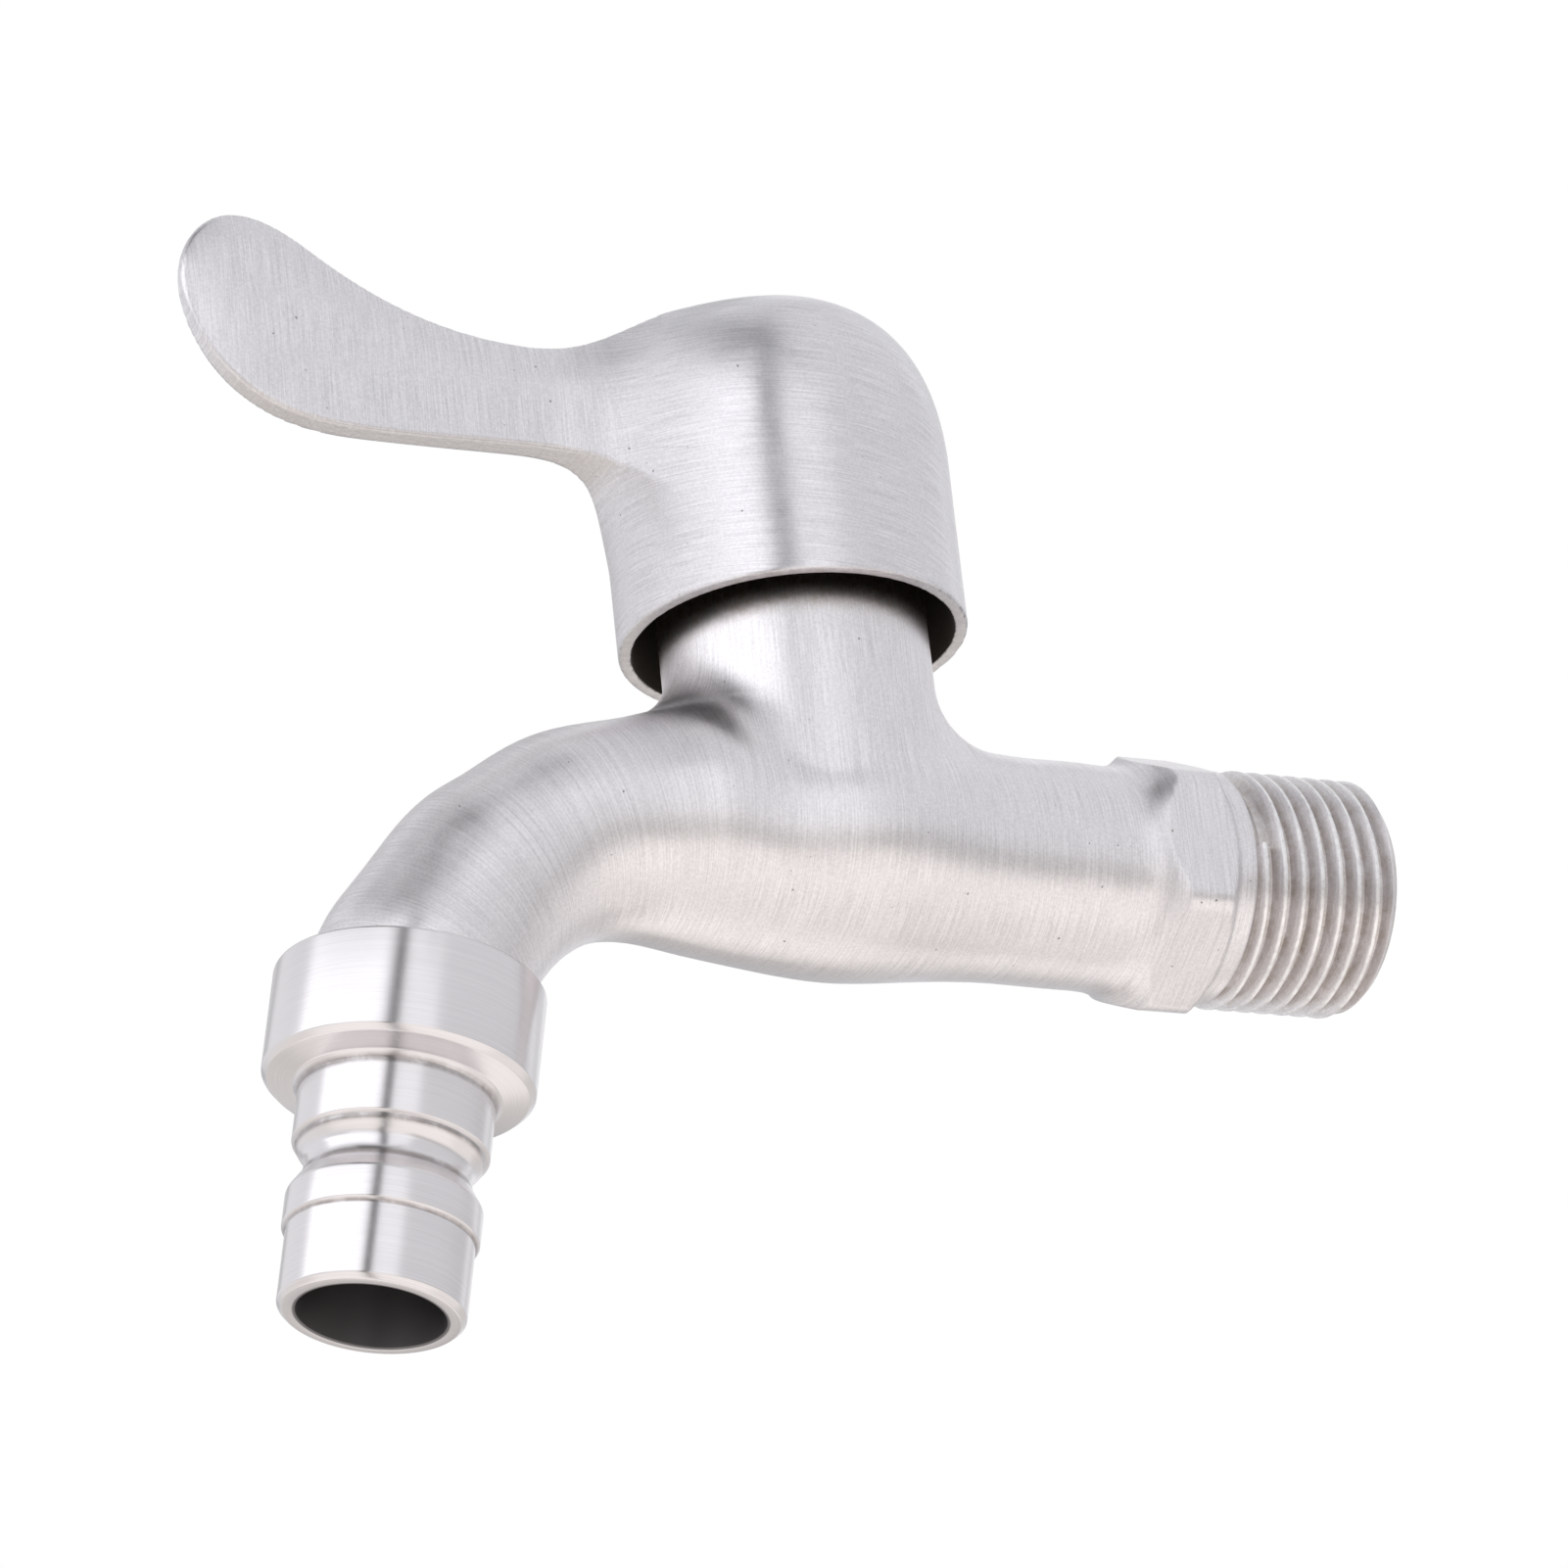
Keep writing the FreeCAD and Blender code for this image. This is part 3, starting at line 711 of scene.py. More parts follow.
@dataclass
class DomeField:
    """Signed distance to a round dome on a straight skirt, both about Z.

    Above the shoulder the dome's outline is a Bezier curve from the skirt, upright, to the crown, level.
    """

    radius: float
    shoulder: float
    top: float
    shoulder_pull: float = 0.70
    crown_pull: float = 0.66
    steps: int = 400

    def __post_init__(self) -> None:
        """Tabulates the outline's distance from the shoulder's centre against the angle above it."""
        rise = self.top - self.shoulder
        t = np.linspace(0, 1, self.steps)[:, None]
        poles = np.array([(self.radius, 0.0), (self.radius, self.shoulder_pull * rise),
                          (self.crown_pull * self.radius, rise), (0.0, rise)])
        shares = np.concatenate([(1 - t)**3, 3 * t * (1 - t)**2, 3 * t**2 * (1 - t), t**3], axis=1)
        curve = shares @ poles
        heading = np.gradient(curve, axis=0)
        self.reach = np.hypot(curve[:, 0], curve[:, 1])
        self.angle = np.arctan2(curve[:, 1], curve[:, 0])
        outward = np.stack([heading[:, 1], -heading[:, 0]], axis=-1)
        outward /= np.linalg.norm(outward, axis=1)[:, None]
        self.square = (outward * curve).sum(axis=1) / self.reach

    def __call__(self, points: np.ndarray) -> np.ndarray:
        """Measures how far places are from the surface.

        Args:
            points: Places in millimetres, one row each.

        Returns:
            Distances, negative inside.
        """
        across = np.hypot(points[:, 0], points[:, 1])
        up = np.maximum(points[:, 2] - self.shoulder, 0)
        angle = np.arctan2(up, np.maximum(across, 1e-9))
        reach = np.interp(angle, self.angle, self.reach)
        return (np.hypot(across, up) - reach) * np.interp(angle, self.angle, self.square)


@dataclass
class PlateField:
    """Signed distance to an upright plate whose outline lies in the forward and up directions.

    Both faces fall off by the crown towards the plate's upper edge and tip, and stay flat along the
    lower edge. The edge is softened over edge_width.
    """

    outline: np.ndarray
    half_thickness: float
    crown: float
    crown_width: float
    edge_width: float
    tip_share: float = 0.6
    spacing: float = 0.125
    margin: float = 8.0
    root_points: int = 80
    batches: int = 40

    def __post_init__(self) -> None:
        """Tabulates the distance to the outline and how much the nearest edge faces up or forward."""
        heading = np.gradient(self.outline, axis=0)
        outward = np.stack([-heading[:, 1], heading[:, 0]], axis=-1)
        outward /= np.linalg.norm(outward, axis=1)[:, None]
        outward[[0, -1], 0] = -1.0
        closing = np.linspace(self.outline[-1], self.outline[0], self.root_points)[1:-1]
        rim = np.concatenate([self.outline, closing])
        outward = np.concatenate([outward, np.tile((-1.0, 0.0), (len(closing), 1))])
        self.low = rim.min(axis=0) - self.margin
        counts = np.ceil((rim.max(axis=0) + self.margin - self.low) / self.spacing).astype(int)
        u, v = np.meshgrid(*(np.arange(count) for count in counts), indexing="ij")
        places = np.stack([u, v], axis=-1).reshape(-1, 2) * self.spacing + self.low
        nearest = np.concatenate([((part[:, None] - rim) ** 2).sum(axis=2).argmin(axis=1)
                                  for part in np.array_split(places, self.batches)])
        gap = places - rim[nearest]
        facing = outward[nearest]
        side = (gap * facing).sum(axis=1)
        away = np.linalg.norm(gap, axis=1)
        distance = np.where(away < 3 * self.spacing, side, np.where(side < 0, -away, away))
        self.distance = distance.reshape(counts)
        ahead = np.clip(facing[:, 1] + self.tip_share * facing[:, 0], -1, 1)
        self.facing = (0.5 + 0.5 * ahead).reshape(counts)

    def read(self, table: np.ndarray, forward: np.ndarray, up: np.ndarray) -> np.ndarray:
        """Table value at places between its points, by linear steps both ways.

        Args:
            table: Values on the plate's grid.
            forward: Forward distance of each place.
            up: Height of each place.

        Returns:
            The value at each place.
        """
        u = np.clip((forward - self.low[0]) / self.spacing, 0, table.shape[0] - 1.001)
        v = np.clip((up - self.low[1]) / self.spacing, 0, table.shape[1] - 1.001)
        i, j = u.astype(int), v.astype(int)
        a, b = u - i, v - j
        return ((1 - a) * (1 - b) * table[i, j] + a * (1 - b) * table[i + 1, j]
                + (1 - a) * b * table[i, j + 1] + a * b * table[i + 1, j + 1])

    def __call__(self, points: np.ndarray) -> np.ndarray:
        """Measures how far places are from the surface.

        Args:
            points: Places in millimetres, one row each.

        Returns:
            Distances, negative inside.
        """
        edge = self.read(self.distance, points[:, 1], points[:, 2])
        near = np.clip(1 + edge / self.crown_width, 0, 1)
        fall = self.crown * self.read(self.facing, points[:, 1], points[:, 2]) * near**2
        return shared(np.abs(points[:, 0]) - self.half_thickness + fall, edge, self.edge_width)


@dataclass
class TapCasting:
    """The cast body with its brushed skin: the inlet, barrel, neck and spout."""

    # Painted light: the same brushed steel as the handle, made brighter on the body
    steel: Colour = (0.805, 0.785, 0.808)
    barrel_r: float = 10.0
    neck_r: float = 11.7
    neck_start: float = 11.0
    bend_y: float = -62.0
    bend_z: float = -32.6
    bend_r: float = 33.0
    blend: float = 3.0
    bore_r: float = 7.2
    bore_edge: Pair = (0.6, 0.2)
    bore_end: float = -38.6
    thread_start: float = -14.2
    thread_r: float = 10.4
    thread_depth: float = 0.75
    thread_edge: float = 0.3
    thread_cast: float = 0.3
    thread_soft: float = 0.12
    crest_edge: Pair = (-0.15, 0.05)
    foot_y: float = -27.4
    foot_r: float = 9.75
    fade: float = 11.0
    skin_r: float = 9.2
    hair: float = 0.02
    hex_start: float = -24.0
    hex_edge: float = 0.6
    hex_soft: float = 0.55
    barrel_soft: float = 1.3
    shade_z: float = 17.2
    shade_end: float = 19.6
    shade_share: float = 1.3
    dirt_wave: float = 1.6
    dirt_levels: Levels = (0.35, 0.70, 0.25, 1.0)
    # Painted highlight glints on the thread's crests, in specks
    glint_wave: float = 0.8
    glint_levels: Levels = (0.40, 0.60, 0.35, 1.0)

    def zones(self, sheet: Finish, look: BrushedCasting) -> Socket:
        """Brush lines round the barrel, across the spout and up the neck, and the stretch square to them.

        The lines vary with distance along each stretch's own axis and run round it; on the neck they
        vary with the angle about the handle's axis and run upwards.

        Args:
            sheet: The finish that takes the nodes.
            look: The brushed skin.

        Returns:
            Height of the lines.
        """
        x, y, z = sheet.axes()
        barrel = look.strokes(sheet, y, sheet.times(sheet.step("ARCTAN2", z, x), self.barrel_r))
        from_bend = sheet.step("ARCTAN2", sheet.less(z, self.bend_z), sheet.less(y, self.bend_y))
        spout = look.strokes(sheet, sheet.times(from_bend, self.bend_r), x)
        forward = sheet.plus(y, REACH)
        neck = look.strokes(sheet, sheet.times(sheet.step("ARCTAN2", forward, x), self.neck_r), z)
        on_spout = sheet.ease(y, self.bend_y + self.blend, self.bend_y - self.blend)
        on_neck = sheet.ease(z, self.neck_start - self.blend / 2, self.neck_start + self.blend / 2)
        level = sheet.mix(on_spout, -1.0, sheet.times(sheet.step("SINE", from_bend), -1.0))
        upright = sheet.times(on_spout, sheet.step("COSINE", from_bend))
        sheet.stretch(look.pull, sheet.point(
            sheet.mix(on_neck, 0.0, sheet.times(forward, -1 / self.neck_r)),
            sheet.mix(on_neck, level, sheet.times(x, 1 / self.neck_r)),
            sheet.mix(on_neck, upright, 0.0)))
        return sheet.mix(on_neck, sheet.mix(on_spout, barrel, spout), neck)

    def marks(self, sheet: Finish) -> Marks:
        """Painted shade in the waterway, tan soiling with painted shade in the thread and under the dome,
        painted highlight glints on the thread's crests and softened edges.

        Args:
            sheet: The finish that takes the nodes.

        Returns:
            The marks.
        """
        x, y, z = sheet.axes()
        from_axis = sheet.radius(x, z)
        # Painted shade, in the shadow colour, down the inlet's bore
        in_inlet = sheet.ease(y, self.bore_end - 1, self.bore_end + 1)
        in_bore = sheet.ease(from_axis, *(self.bore_r + edge for edge in self.bore_edge))
        on_thread = sheet.ease(y, self.thread_start - self.thread_edge,
                               self.thread_start + self.thread_edge)
        groove = sheet.ease(from_axis, self.thread_r, self.thread_r - self.thread_depth)
        # Darker towards the dome: painted shade with soiling on the neck under the dome's rim
        shade_and_soil_under_dome = sheet.ease(z, self.shade_z, self.shade_end, 0.0, self.shade_share)
        dirt_and_shade_zone = sheet.step("MAXIMUM", sheet.times(on_thread, groove), shade_and_soil_under_dome)
        blotches = sheet.noise(sheet.place, self.dirt_wave, detail=4.0, roughness=0.75)
        patches = sheet.ease(blotches, *self.dirt_levels)
        on_hex = sheet.ease(y, self.hex_start - self.hex_edge, self.hex_start)
        soft = sheet.mix(on_thread, sheet.mix(on_hex, self.barrel_soft, self.hex_soft), self.thread_soft)
        # Painted highlight glints in specks along the thread's crests
        crest_highlight = sheet.ease(from_axis, *(self.thread_r + edge for edge in self.crest_edge))
        glint_noise = sheet.noise(sheet.place, self.glint_wave, detail=3.0, roughness=0.7)
        glint_specks = sheet.ease(glint_noise, *self.glint_levels)
        return Marks(
            painted_shade=sheet.times(in_inlet, in_bore),
            cast=sheet.times(on_thread, self.thread_cast),
            dirt_and_shade=sheet.times(dirt_and_shade_zone, patches),
            painted_highlight=sheet.times(sheet.times(on_thread, crest_highlight), glint_specks),
            soft=soft)

    def evened(self, points: np.ndarray) -> np.ndarray:
        """Points with the barrel's underside eased out to the foot of the hex.

        A point nearer to the barrel's axis than the foot moves out by a share of what is missing. The
        share is 3 t squared less 2 t cubed, with t from 0, a fade's length before the foot, to 1 at it.

        Args:
            points: Corners in metres, one row each.

        Returns:
            The moved corners.
        """
        along = points[:, 1] / MM
        from_axis = np.hypot(points[:, 0], points[:, 2]) / MM
        t = np.clip(1 + (along - self.foot_y) / self.fade, 0, 1)
        skin = (along < self.foot_y + self.hair / 2) & (points[:, 2] < 0) & (from_axis > self.skin_r)
        missing = np.where(skin, np.maximum(self.foot_r - from_axis, 0), 0)
        grown = 1 + (3 * t**2 - 2 * t**3) * missing / np.maximum(from_axis, 1)
        return points * np.stack([grown, np.ones_like(grown), grown], axis=-1)

    def build(self) -> None:
        """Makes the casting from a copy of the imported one, with its barrel evened at the hex."""
        sheet = Finish("brushed_casting")
        look = BrushedCasting(steel=self.steel)
        material = look.finish(sheet, self.zones(sheet, look), self.marks(sheet))
        points, faces, normals = packed_copy("body")
        corners = points[faces] / MM
        at_foot = (np.abs(corners[:, :, 1] - self.foot_y) < self.hair).all(axis=1)
        ledge = at_foot & (np.hypot(corners[:, :, 0], corners[:, :, 2]) > self.skin_r).all(axis=1)
        outward = corners[ledge] * np.array([1.0, 0.0, 1.0])
        normals[ledge] = outward / np.linalg.norm(outward, axis=2, keepdims=True)
        piece = mesh_piece("tap_casting", self.evened(points), faces, material, Body.FIXED, "body")
        piece.data.normals_split_custom_set(normals.reshape(-1, 3).tolist())


@dataclass
class HoseNozzle:
    """Turned nozzle below the spout, drawn along its own axis with heights down from the collar's top.

    Each dim line, soiling with painted shade in a corner, holds how far it lies below the end of the
    collar, neck, groove or ring, and half its width.
    """

    top_y: float = -89.7
    top_z: float = -15.1
    tilt: float = 11.5
    socket_r: float = 8.6
    socket_depth: float = 8.3
    bore_r: float = 6.15
    collar_r: float = 11.3
    collar_length: float = 9.3
    collar_chamfer: float = 0.5
    neck_r: float = 8.12
    neck_end: float = 14.9
    neck_fillet: float = 0.5
    lip_in: float = 0.32
    lip_drop: float = 0.2
    groove_in: float = 0.40
    groove_drop: float = 0.6
    groove_r: float = 6.9
    groove_start: float = 16.4
    groove_end: float = 17.9
    ring_r: float = 8.07
    ring_start: float = 19.8
    ring_end: float = 22.6
    ring_step: float = 0.3
    tail_r: float = 7.72
    tail_end: float = 29.6
    tail_chamfer: float = 0.45
    around: int = 224
    # Lines of soiling with painted shade in the corners below collar, neck, groove and ring
    dim_lines: tuple[Pair, ...] = ((1.1, 0.25), (0.45, 0.20), (0.25, 0.25), (0.3, 0.12))

    def outline(self) -> np.ndarray:
        """Outline of the wall, from the socket's mouth down the outside and back up the bore.

        Returns:
            Radius and height of each point.
        """
        face = self.collar_length + self.collar_chamfer
        corners = [
            (self.socket_r, 0.0, 0.10),
            (self.collar_r, 0.0, 0.28),
            (self.collar_r, self.collar_chamfer - self.collar_length, 0.10),
            (self.collar_r - self.collar_chamfer, -self.collar_length, 0.10),
            (self.neck_r + self.neck_fillet, -face, 0.12),
            (self.neck_r, -face - self.neck_fillet, 0.15),
            (self.neck_r, -self.neck_end, 0.08),
            (self.neck_r - self.lip_in, -self.neck_end - self.lip_drop, 0.08),
            (self.neck_r - self.groove_in, -self.neck_end - self.groove_drop, 0.15),
            (self.groove_r, -self.groove_start, 0.45),
            (self.groove_r, -self.groove_end, 0.60),
            (self.ring_r, -self.ring_start, 0.20),
            (self.ring_r, -self.ring_end, 0.10),
            (self.tail_r, -self.ring_end - self.ring_step, 0.10),
            (self.tail_r, self.tail_chamfer - self.tail_end, 0.12),
            (self.tail_r - self.tail_chamfer, -self.tail_end, 0.12),
            (self.bore_r, -self.tail_end, 0.12),
            (self.bore_r, -self.socket_depth, 0.10),
            (self.socket_r, -self.socket_depth, 0.10),
        ]
        return rounded_outline(corners)

    def placed(self, points: np.ndarray) -> np.ndarray:
        """Points in metres, turned to the nozzle's tilt and moved below the spout."""
        turn = np.array(Matrix.Rotation(math.radians(-self.tilt), 3, "X"))
        return (points @ turn.T + np.array([0.0, self.top_y, self.top_z])) * MM

    def axis_places(self, sheet: Finish) -> tuple[Socket, Socket]:
        """Reads the surface point by the nozzle's axis.

        Args:
            sheet: The finish that takes the nodes.

        Returns:
            Distance along the axis and distance from it.
        """
        inputs = {"Vector": sheet.place, "Location": (0.0, self.top_y, self.top_z),
                  "Rotation": (math.radians(-self.tilt), 0.0, 0.0)}
        x, y, height = sheet.axes(sheet.node("Mapping", inputs, vector_type="TEXTURE").outputs[0])
        return height, sheet.radius(x, y)

    def build(self) -> None:
        """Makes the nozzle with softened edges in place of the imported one."""
        sheet = Finish("turned_nozzle")
        look = TurnedSteel()
        height, from_axis = self.axis_places(sheet)
        tilt = math.radians(self.tilt)
        sheet.stretch(look.pull, sheet.point(0.0, math.sin(tilt), math.cos(tilt)))
        ends = (self.collar_length, self.neck_end, self.groove_end, self.ring_end)
        corners = [(-end - drop, half) for end, (drop, half) in zip(ends, self.dim_lines)]
        material = look.finish(sheet, height, from_axis, self.bore_r, corners)
        points, faces = turned_grid(self.outline(), self.around)
        mesh_piece("hose_nozzle", self.placed(points), faces, material, Body.FIXED, "nozzle")


@dataclass
class LeverHandle:
    """The cast handle: a dome over the neck with an upright lever blade.

    Its shape is a field in millimetres with X to the side, forward distance from the handle's axis second
    and height third.
    """

    cap_r: float = 15.15
    wall: float = 1.19
    brush_r: float = 15.0
    rim_z: float = 19.9
    shoulder_z: float = 34.8
    crown_z: float = 51.2
    roof: float = 2.6
    boss_r: float = 7.6
    boss_z: float = 39.5
    socket_r: float = 5.4
    socket_top: float = 46.9
    lug_half: float = 3.5
    screw_z: float = 42.6
    screw_r: float = 2.05
    blade_root: float = 11.0
    blade_reach: float = 54.15
    blade_half: float = 1.3
    blade_steps: int = 40
    crown: float = 0.75
    crown_width: float = 4.3
    edge_width: float = 0.60
    fillet: float = 10.5
    rim_width: float = 0.48
    inner_width: float = 0.4
    skin_gap: float = 0.012
    cell: float = 0.36
    margin: float = 1.0
    blade_start: float = -67.5
    blend: float = 2.5
    crown_blend: Pair = (-7.0, -1.0)
    slant: float = 0.12
    dome_power: float = 2.4
    inside_edge: Pair = (0.88, 0.84)
    rim_edge: Pair = (0.05, 0.20)
    below_edge: Pair = (-0.45, -0.85)
    root_y: float = -66.0
    root_levels: Levels = (5.5, 1.5, 0.0, 0.8)
    soft: float = 0.12
    blade_outline: tuple[Pair, ...] = (
        (0.0, 47.0), (0.139, 46.3), (0.297, 46.0), (0.503, 47.7), (0.705, 52.2), (0.807, 54.9), (0.897, 55.4),
        (0.973, 52.9), (1.0, 48.4), (0.971, 43.6), (0.904, 39.6), (0.797, 36.9), (0.649, 35.9), (0.440, 35.9),
        (0.232, 36.0), (0.0, 36.0))

    def __post_init__(self) -> None:
        """Prepares the dome, its hollow and the blade."""
        reach = self.blade_reach - self.blade_root
        places = [(self.blade_root + share * reach, height) for share, height in self.blade_outline]
        path = smooth_path(places, (1.0, 0.0), (-1.0, 0.0), self.blade_steps)
        self.dome = DomeField(self.cap_r, self.shoulder_z, self.crown_z)
        self.inner = DomeField(self.cap_r - self.wall, self.shoulder_z - self.wall, self.crown_z - self.roof)
        self.plate = PlateField(path, self.blade_half, self.crown, self.crown_width, self.edge_width)

    def hollow_field(self, points: np.ndarray) -> np.ndarray:
        """Distance to the hollow: inner dome less boss and lug, the bush's socket and the screw's hole.

        Args:
            points: Places in millimetres, one row each.

        Returns:
            Distances, negative inside.
        """
        x, forward, up = points.T
        rod = np.maximum(np.hypot(x, forward) - self.boss_r, self.boss_z - up)
        lug = np.maximum(np.maximum(np.abs(x) - self.lug_half, forward), self.boss_z - up)
        room = shared(self.inner(points), -np.minimum(rod, lug), self.inner_width)
        socket = np.maximum(np.hypot(x, forward) - self.socket_r, up - self.socket_top)
        hole = np.maximum(np.hypot(x, up - self.screw_z) - self.screw_r, forward)
        return np.minimum(np.minimum(room, socket), hole)

    def field(self, points: np.ndarray) -> np.ndarray:
        """Distance to the whole handle.

        Args:
            points: Places in millimetres, one row each.

        Returns:
            Distances, negative inside.
        """
        skin = joined(self.dome(points), self.plate(points), self.fillet) + self.skin_gap
        skin = shared(skin, self.rim_z + self.skin_gap - points[:, 2], self.rim_width)
        return shared(skin, -self.hollow_field(points), self.rim_width)

    def zones(self, sheet: Finish, look: BrushedCasting) -> Socket:
        """Brush lines up the blade and round the dome, a little aslant, and the stretch square to them.

        Args:
            sheet: The finish that takes the nodes.
            look: The brushed skin.

        Returns:
            Height of the lines.
        """
        x, y, z = sheet.axes()
        blade = look.strokes(sheet, y, z)
        about = sheet.times(sheet.step("ARCTAN2", sheet.plus(y, REACH), x), self.brush_r)
        dome = look.strokes(sheet, sheet.plus(z, sheet.times(about, self.slant)), about)
        on_blade = sheet.ease(y, self.blade_start + self.blend, self.blade_start - self.blend)
        on_crown = sheet.ease(z, *(self.crown_z + edge for edge in self.crown_blend))
        sheet.stretch(look.pull, sheet.point(0.0, sheet.step("MAXIMUM", on_blade, on_crown),
                                             sheet.less(1.0, on_blade)))
        return sheet.mix(on_blade, dome, blade)

    def marks(self, sheet: Finish) -> Marks:
        """Painted shade inside the dome, blade's underside and rim left as cast, and a matte blade root.

        The sum of (r / cap radius) and (height above the shoulder / rise), each to the dome's power, is
        1 on the outer skin and less than the inside's edge on the inner one.

        Args:
            sheet: The finish that takes the nodes.

        Returns:
            The marks.
        """
        x, y, z = sheet.axes()
        from_axis = sheet.radius(x, sheet.plus(y, REACH))
        rise = sheet.step("MAXIMUM", sheet.less(z, self.shoulder_z), 0.0)
        across, up = (
            sheet.step("POWER", sheet.step("DIVIDE", length, whole), self.dome_power)
            for length, whole in ((from_axis, self.cap_r), (rise, self.crown_z - self.shoulder_z)))
        # Painted shade, in the shadow colour, inside the dome above the rim
        inside = sheet.ease(sheet.plus(across, up), *self.inside_edge)
        above_rim = sheet.ease(z, *(self.rim_z + edge for edge in self.rim_edge))
        _, _, upward = sheet.axes(sheet.facing)
        return Marks(
            painted_shade=sheet.times(inside, above_rim),
            cast=sheet.ease(upward, *self.below_edge),
            matte=sheet.ease(sheet.apart(y, self.root_y), *self.root_levels),
            soft=self.soft)

    def build(self) -> None:
        """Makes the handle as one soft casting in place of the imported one."""
        sheet = Finish("brushed_handle")
        look = BrushedCasting()
        material = look.finish(sheet, self.zones(sheet, look), self.marks(sheet))
        side = self.cap_r + self.margin
        top = max(height for _, height in self.blade_outline)
        points, faces = net_surface(self.field, (-side, -side, self.rim_z - self.margin),
                                    (side, self.blade_reach + self.margin, top + self.margin), self.cell)
        turn = np.array([1.0, -1.0, 1.0])
        normals = slope(self.field, points) * turn
        places = (points * turn - np.array([0.0, REACH, 0.0])) * MM
        faces = faces[:, ::-1]
        piece = mesh_piece("lever_handle", places, faces, material, Body.TURNING, "handle")
        piece.data.normals_split_custom_set_from_vertices(normals.tolist())


@dataclass
class ValveCartridge:
    """The quarter-turn valve and the small hidden pieces, each in its workshop finish."""

    finishes: tuple[HiddenFinish, ...] = (
        HiddenFinish(Slot.BRASS, "machined_brass", (0.80, 0.60, 0.28), (0.74, 0.53, 0.24),
                     metal=1, rough=0.30, grain=0.20, depth=0.006),
        HiddenFinish(Slot.CERAMIC, "lapped_ceramic", (0.90, 0.89, 0.86), (0.84, 0.83, 0.80),
                     metal=0, rough=0.22, grain=0.12, depth=0.002),
        HiddenFinish(Slot.RUBBER, "black_rubber", (0.022, 0.022, 0.022), (0.034, 0.033, 0.032),
                     metal=0, rough=0.55, grain=0.30, depth=0.010),
        HiddenFinish(Slot.PLASTIC, "moulded_acetal", (0.82, 0.82, 0.79), (0.76, 0.76, 0.73),
                     metal=0, rough=0.42, grain=0.35, depth=0.006),
        HiddenFinish(Slot.TURNED, "small_steel", (0.70, 0.69, 0.68), (0.60, 0.59, 0.58),
                     metal=1, rough=0.28, grain=0.15, depth=0.004),
    )

    def build(self) -> None:
        """Dresses each hidden node by its slot in the record."""
        materials = {finish.slot.value: finish.material() for finish in self.finishes}
        for entry in frame["record"]["subparts"]:
            if entry["material_slot"] in materials:
                dress(frame["nodes"][entry["node"]], materials[entry["material_slot"]])
                log.info("%s: %s", entry["node"], entry["material_slot"])


@dataclass(frozen=True)
class Panel:
    """One soft patch of the surround: degrees right of the camera, degrees up, and brightness.

    A leaning panel moves right by lean degrees for each degree up, and a sloping one rises by slope
    degrees for each degree right.
    """

    azimuth: float
    elevation: float
    half_width: float
    half_height: float
    soft: float
    grey: float
    lean: float = 0.0
    slope: float = 0.0


class Surround(Finish):
    """World that is white to the camera and lights the tap with soft panels."""

    low_glow: Colour = (1.0, 0.954, 0.918)
    high_glow: Colour = (0.985, 0.985, 1.0)
    glow_range: Pair = (-25.0, 5.0)

    def __init__(self, towards_camera: Sequence[float]) -> None:
        """Makes the world and its direction angles, in degrees.

        Args:
            towards_camera: Direction from the tap to the camera.
        """
        world = bpy.data.worlds.new("surround")
        bpy.context.scene.world = world
        world.use_nodes = True
        self.tree = world.node_tree
        self.tree.nodes.clear()
        self.place = self.node("TexCoord", {}).outputs["Generated"]
        x, y, z = self.axes()
        side = math.atan2(towards_camera[1], towards_camera[0])
        ahead = self.plus(self.times(x, math.cos(side)), self.times(y, math.sin(side)))
        right = self.less(self.times(y, math.cos(side)), self.times(x, math.sin(side)))
        self.azimuth = self.times(self.step("ARCTAN2", right, ahead), math.degrees(1))
        self.elevation = self.times(self.step("ARCSINE", z), math.degrees(1))

    def window(self, angle: Socket, middle: float, half: float, soft: float) -> Socket:
        """1 where an angle is within half of the middle, 0 beyond half and soft."""
        turn = self.step("FLOORED_MODULO", self.plus(angle, 180 - middle), 360)
        return self.ease(self.apart(turn, 180), half + soft, half)

    def light(self, base: Sequence[Pair], panels: Sequence[Panel]) -> None:
        """Paints the panels in order over brightness that changes with elevation only.

        Args:
            base: Elevations in degrees, rising, each with its brightness.
            panels: The panels, later ones over earlier ones.
        """
        grey: Number = base[0][1]
        for (low, _), (high, bright) in zip(base, base[1:]):
            grey = self.mix(self.ease(self.elevation, low, high), grey, bright)
        for panel in panels:
            turned = self.less(self.azimuth, self.times(self.elevation, panel.lean))
            away = self.less(self.azimuth, panel.azimuth)
            raised = self.less(self.elevation, self.times(away, panel.slope))
            across = self.window(turned, panel.azimuth, panel.half_width, panel.soft)
            up = self.window(raised, panel.elevation, panel.half_height, panel.soft)
            grey = self.mix(self.times(across, up), grey, panel.grey)
        self.show(grey)

    def show(self, grey: Socket) -> None:
        """White for camera rays and the painted brightness for all others.

        Args:
            grey: The painted brightness.
        """
        seen = self.node("LightPath", {}).outputs["Is Camera Ray"]
        glow = self.tint(self.ease(self.elevation, *self.glow_range), self.low_glow, self.high_glow)
        background = self.node("Background", {"Color": self.tint(seen, glow, (1.0, 1.0, 1.0)),
                                              "Strength": self.mix(seen, grey, 1.0)})
        self.node("OutputWorld", {0: background.outputs[0]})


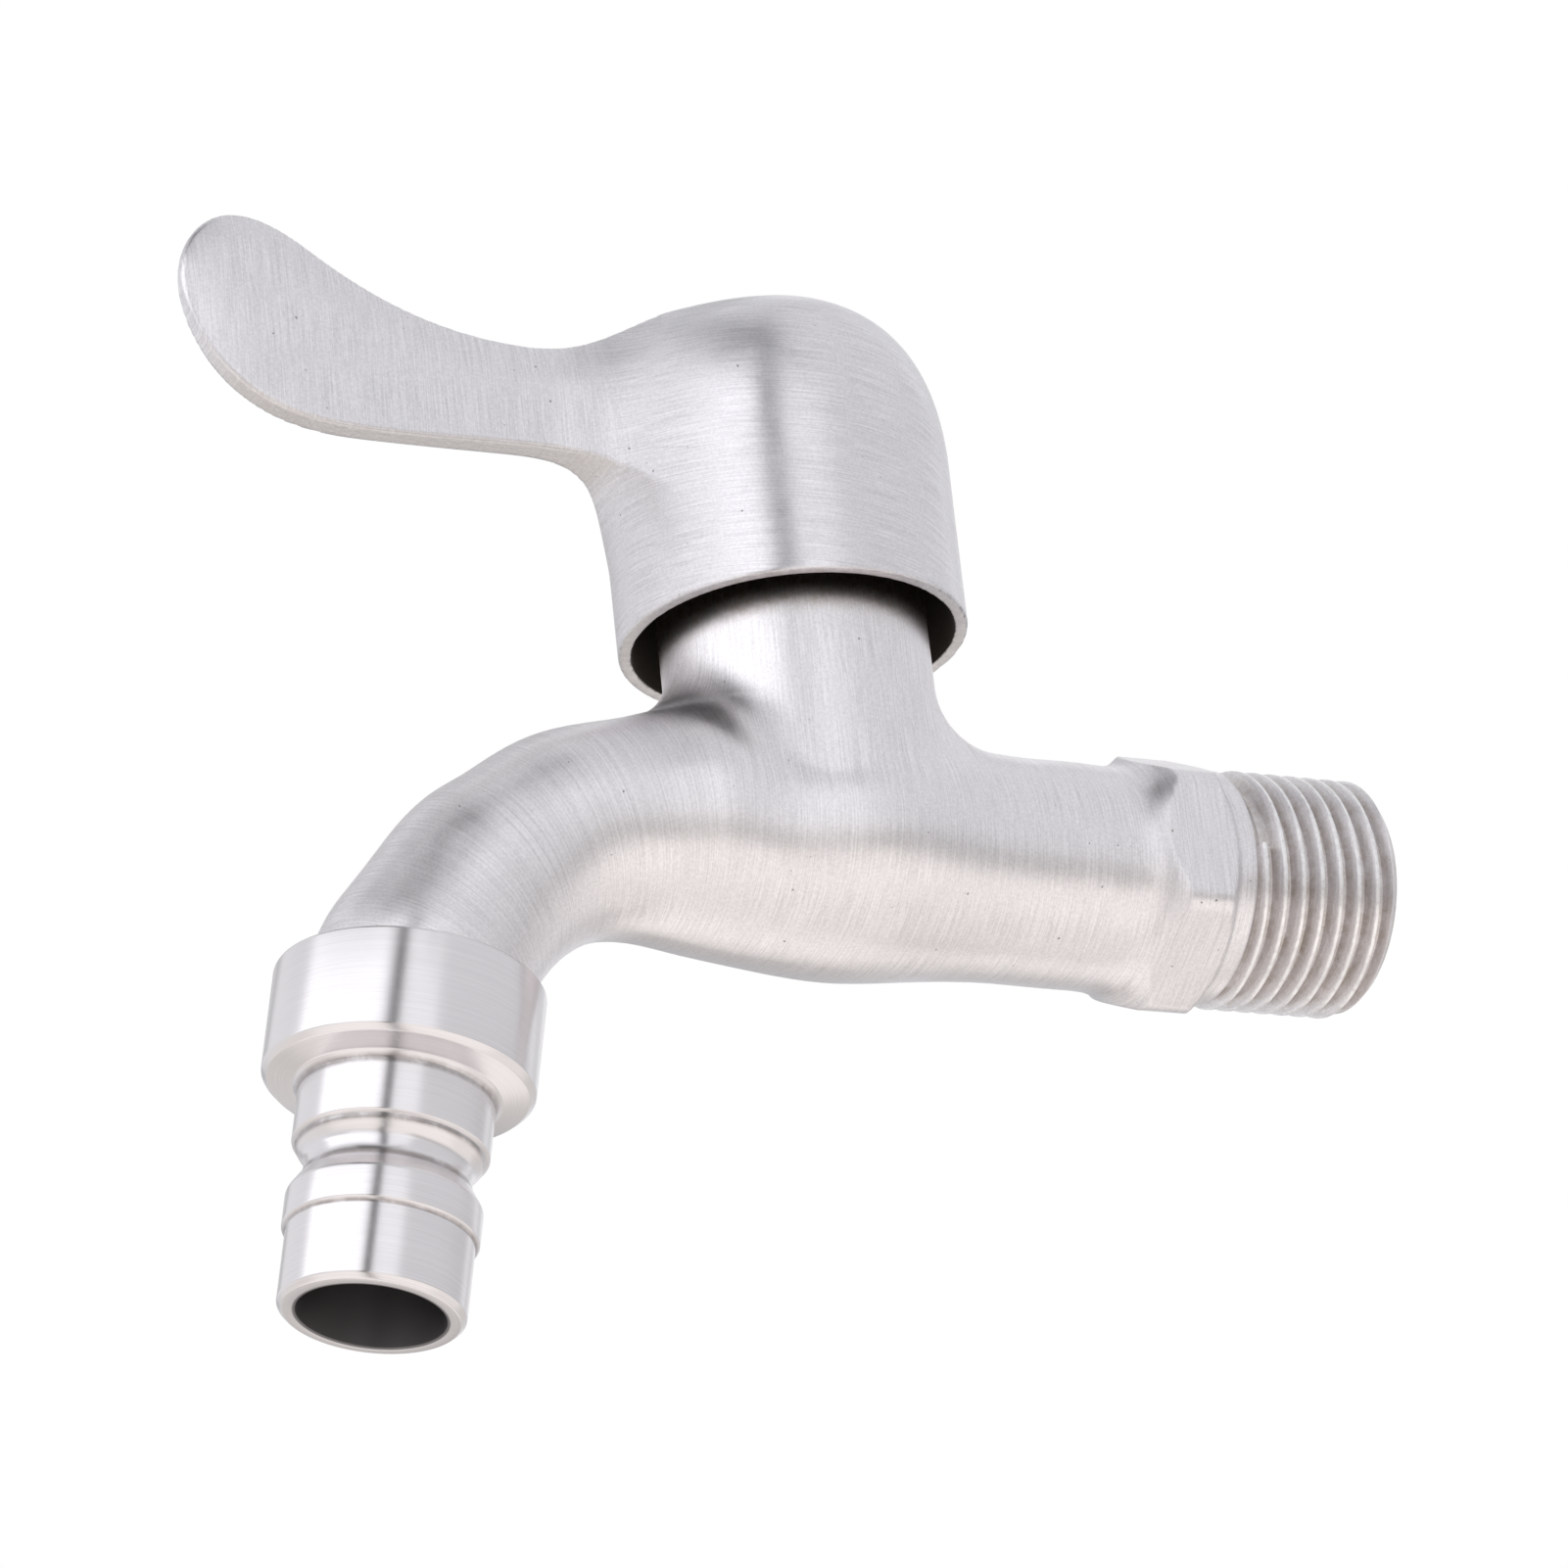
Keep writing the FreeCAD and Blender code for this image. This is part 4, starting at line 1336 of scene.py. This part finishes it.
@dataclass
class Studio:
    """Camera at the photograph's place, a pale floor and a soft white surround."""

    camera_place: tuple[float, float, float] = (0.51241, -0.31259, -0.24395)
    right: tuple[float, float, float] = (0.40930, 0.90682, -0.10077)
    down: tuple[float, float, float] = (-0.40425, 0.08122, -0.91104)
    forward: tuple[float, float, float] = (-0.81796, 0.41362, 0.39982)
    focal_pixels: float = 7500.0
    image_pixels: float = 1601.0
    sensor: float = 36.0
    floor_z: float = -0.8
    floor_size: float = 14.0
    floor_colour: Colour = (0.96, 0.96, 0.96)
    base: tuple[Pair, ...] = (
        (-90, 1.05), (-55, 1.20), (-35, 1.17), (-14, 0.95), (0, 0.82), (14, 0.80), (32, 0.82),
        (60, 0.84), (90, 0.80))
    panels: tuple[Panel, ...] = (
        Panel(-122, 0, 32, 30, 14, 0.92),
        Panel(-48, 28, 36, 9, 12, 1.56),
        Panel(-28, 7, 18, 8, 10, 1.22),
        Panel(20, 12, 12, 26, 10, 1.15),
        Panel(-76, 70, 38, 10, 13, 0.50),
        Panel(-11, 63, 29, 5, 10, 0.10),
        Panel(23, 51, 9, 3, 6, 0.34, slope=-1.1),
        Panel(80, -9, 46, 2, 15, 0.64, slope=0.25),
        Panel(130, -42, 28, 22, 15, 1.02),
        Panel(-5, -14, 2.2, 58, 5, 0.08, lean=0.26),
        Panel(165, 28, 22, 22, 15, 0.98),
        Panel(152, 8, 3, 55, 8, 0.75),
        Panel(-152, 8, 3, 55, 8, 0.55),
        Panel(180, -16, 40, 10, 12, 0.78),
        Panel(-172, 15, 3, 42, 8, 0.55),
        Panel(0, 88, 180, 6, 9, 0.78),
    )

    def camera(self) -> None:
        """Camera whose axes are the rows right, down and forward of the photograph's view."""
        data = bpy.data.cameras.new("camera")
        data.sensor_width = self.sensor
        data.lens = self.focal_pixels / self.image_pixels * self.sensor
        data.clip_start, data.clip_end = 0.01, 50.0
        thing = bpy.data.objects.new("camera", data)
        bpy.context.scene.collection.objects.link(thing)
        axes = [Vector(self.right), -Vector(self.down), -Vector(self.forward)]
        turn = Matrix([[axis[row] for axis in axes] for row in range(3)]).to_4x4()
        thing.matrix_world = Matrix.Translation(self.camera_place) @ turn
        bpy.context.scene.camera = thing

    def floor(self) -> None:
        """Large pale floor well below the tap, left out of reflections for the painted surround."""
        half = self.floor_size / 2
        mesh = bpy.data.meshes.new("floor")
        corners = [(-half, -half), (half, -half), (half, half), (-half, half)]
        mesh.from_pydata([(x, y, self.floor_z) for x, y in corners], [], [(0, 1, 2, 3)])
        thing = bpy.data.objects.new("floor", mesh)
        bpy.context.scene.collection.objects.link(thing)
        dress(thing, Finish("pale_floor").wear(self.floor_colour, 0.0, 0.8))
        thing.visible_glossy = False

    def build(self) -> None:
        """Sets up the whole studio."""
        self.camera()
        self.floor()
        Surround([-step for step in self.forward]).light(self.base, self.panels)
        bpy.context.scene.view_settings.view_transform = "Standard"


def main() -> None:
    logging.basicConfig(level=logging.INFO, format="%(name)s %(message)s")
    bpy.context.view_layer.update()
    TapCasting().build()
    HoseNozzle().build()
    LeverHandle().build()
    ValveCartridge().build()
    Studio().build()


if __name__ == "__main__":
    main()
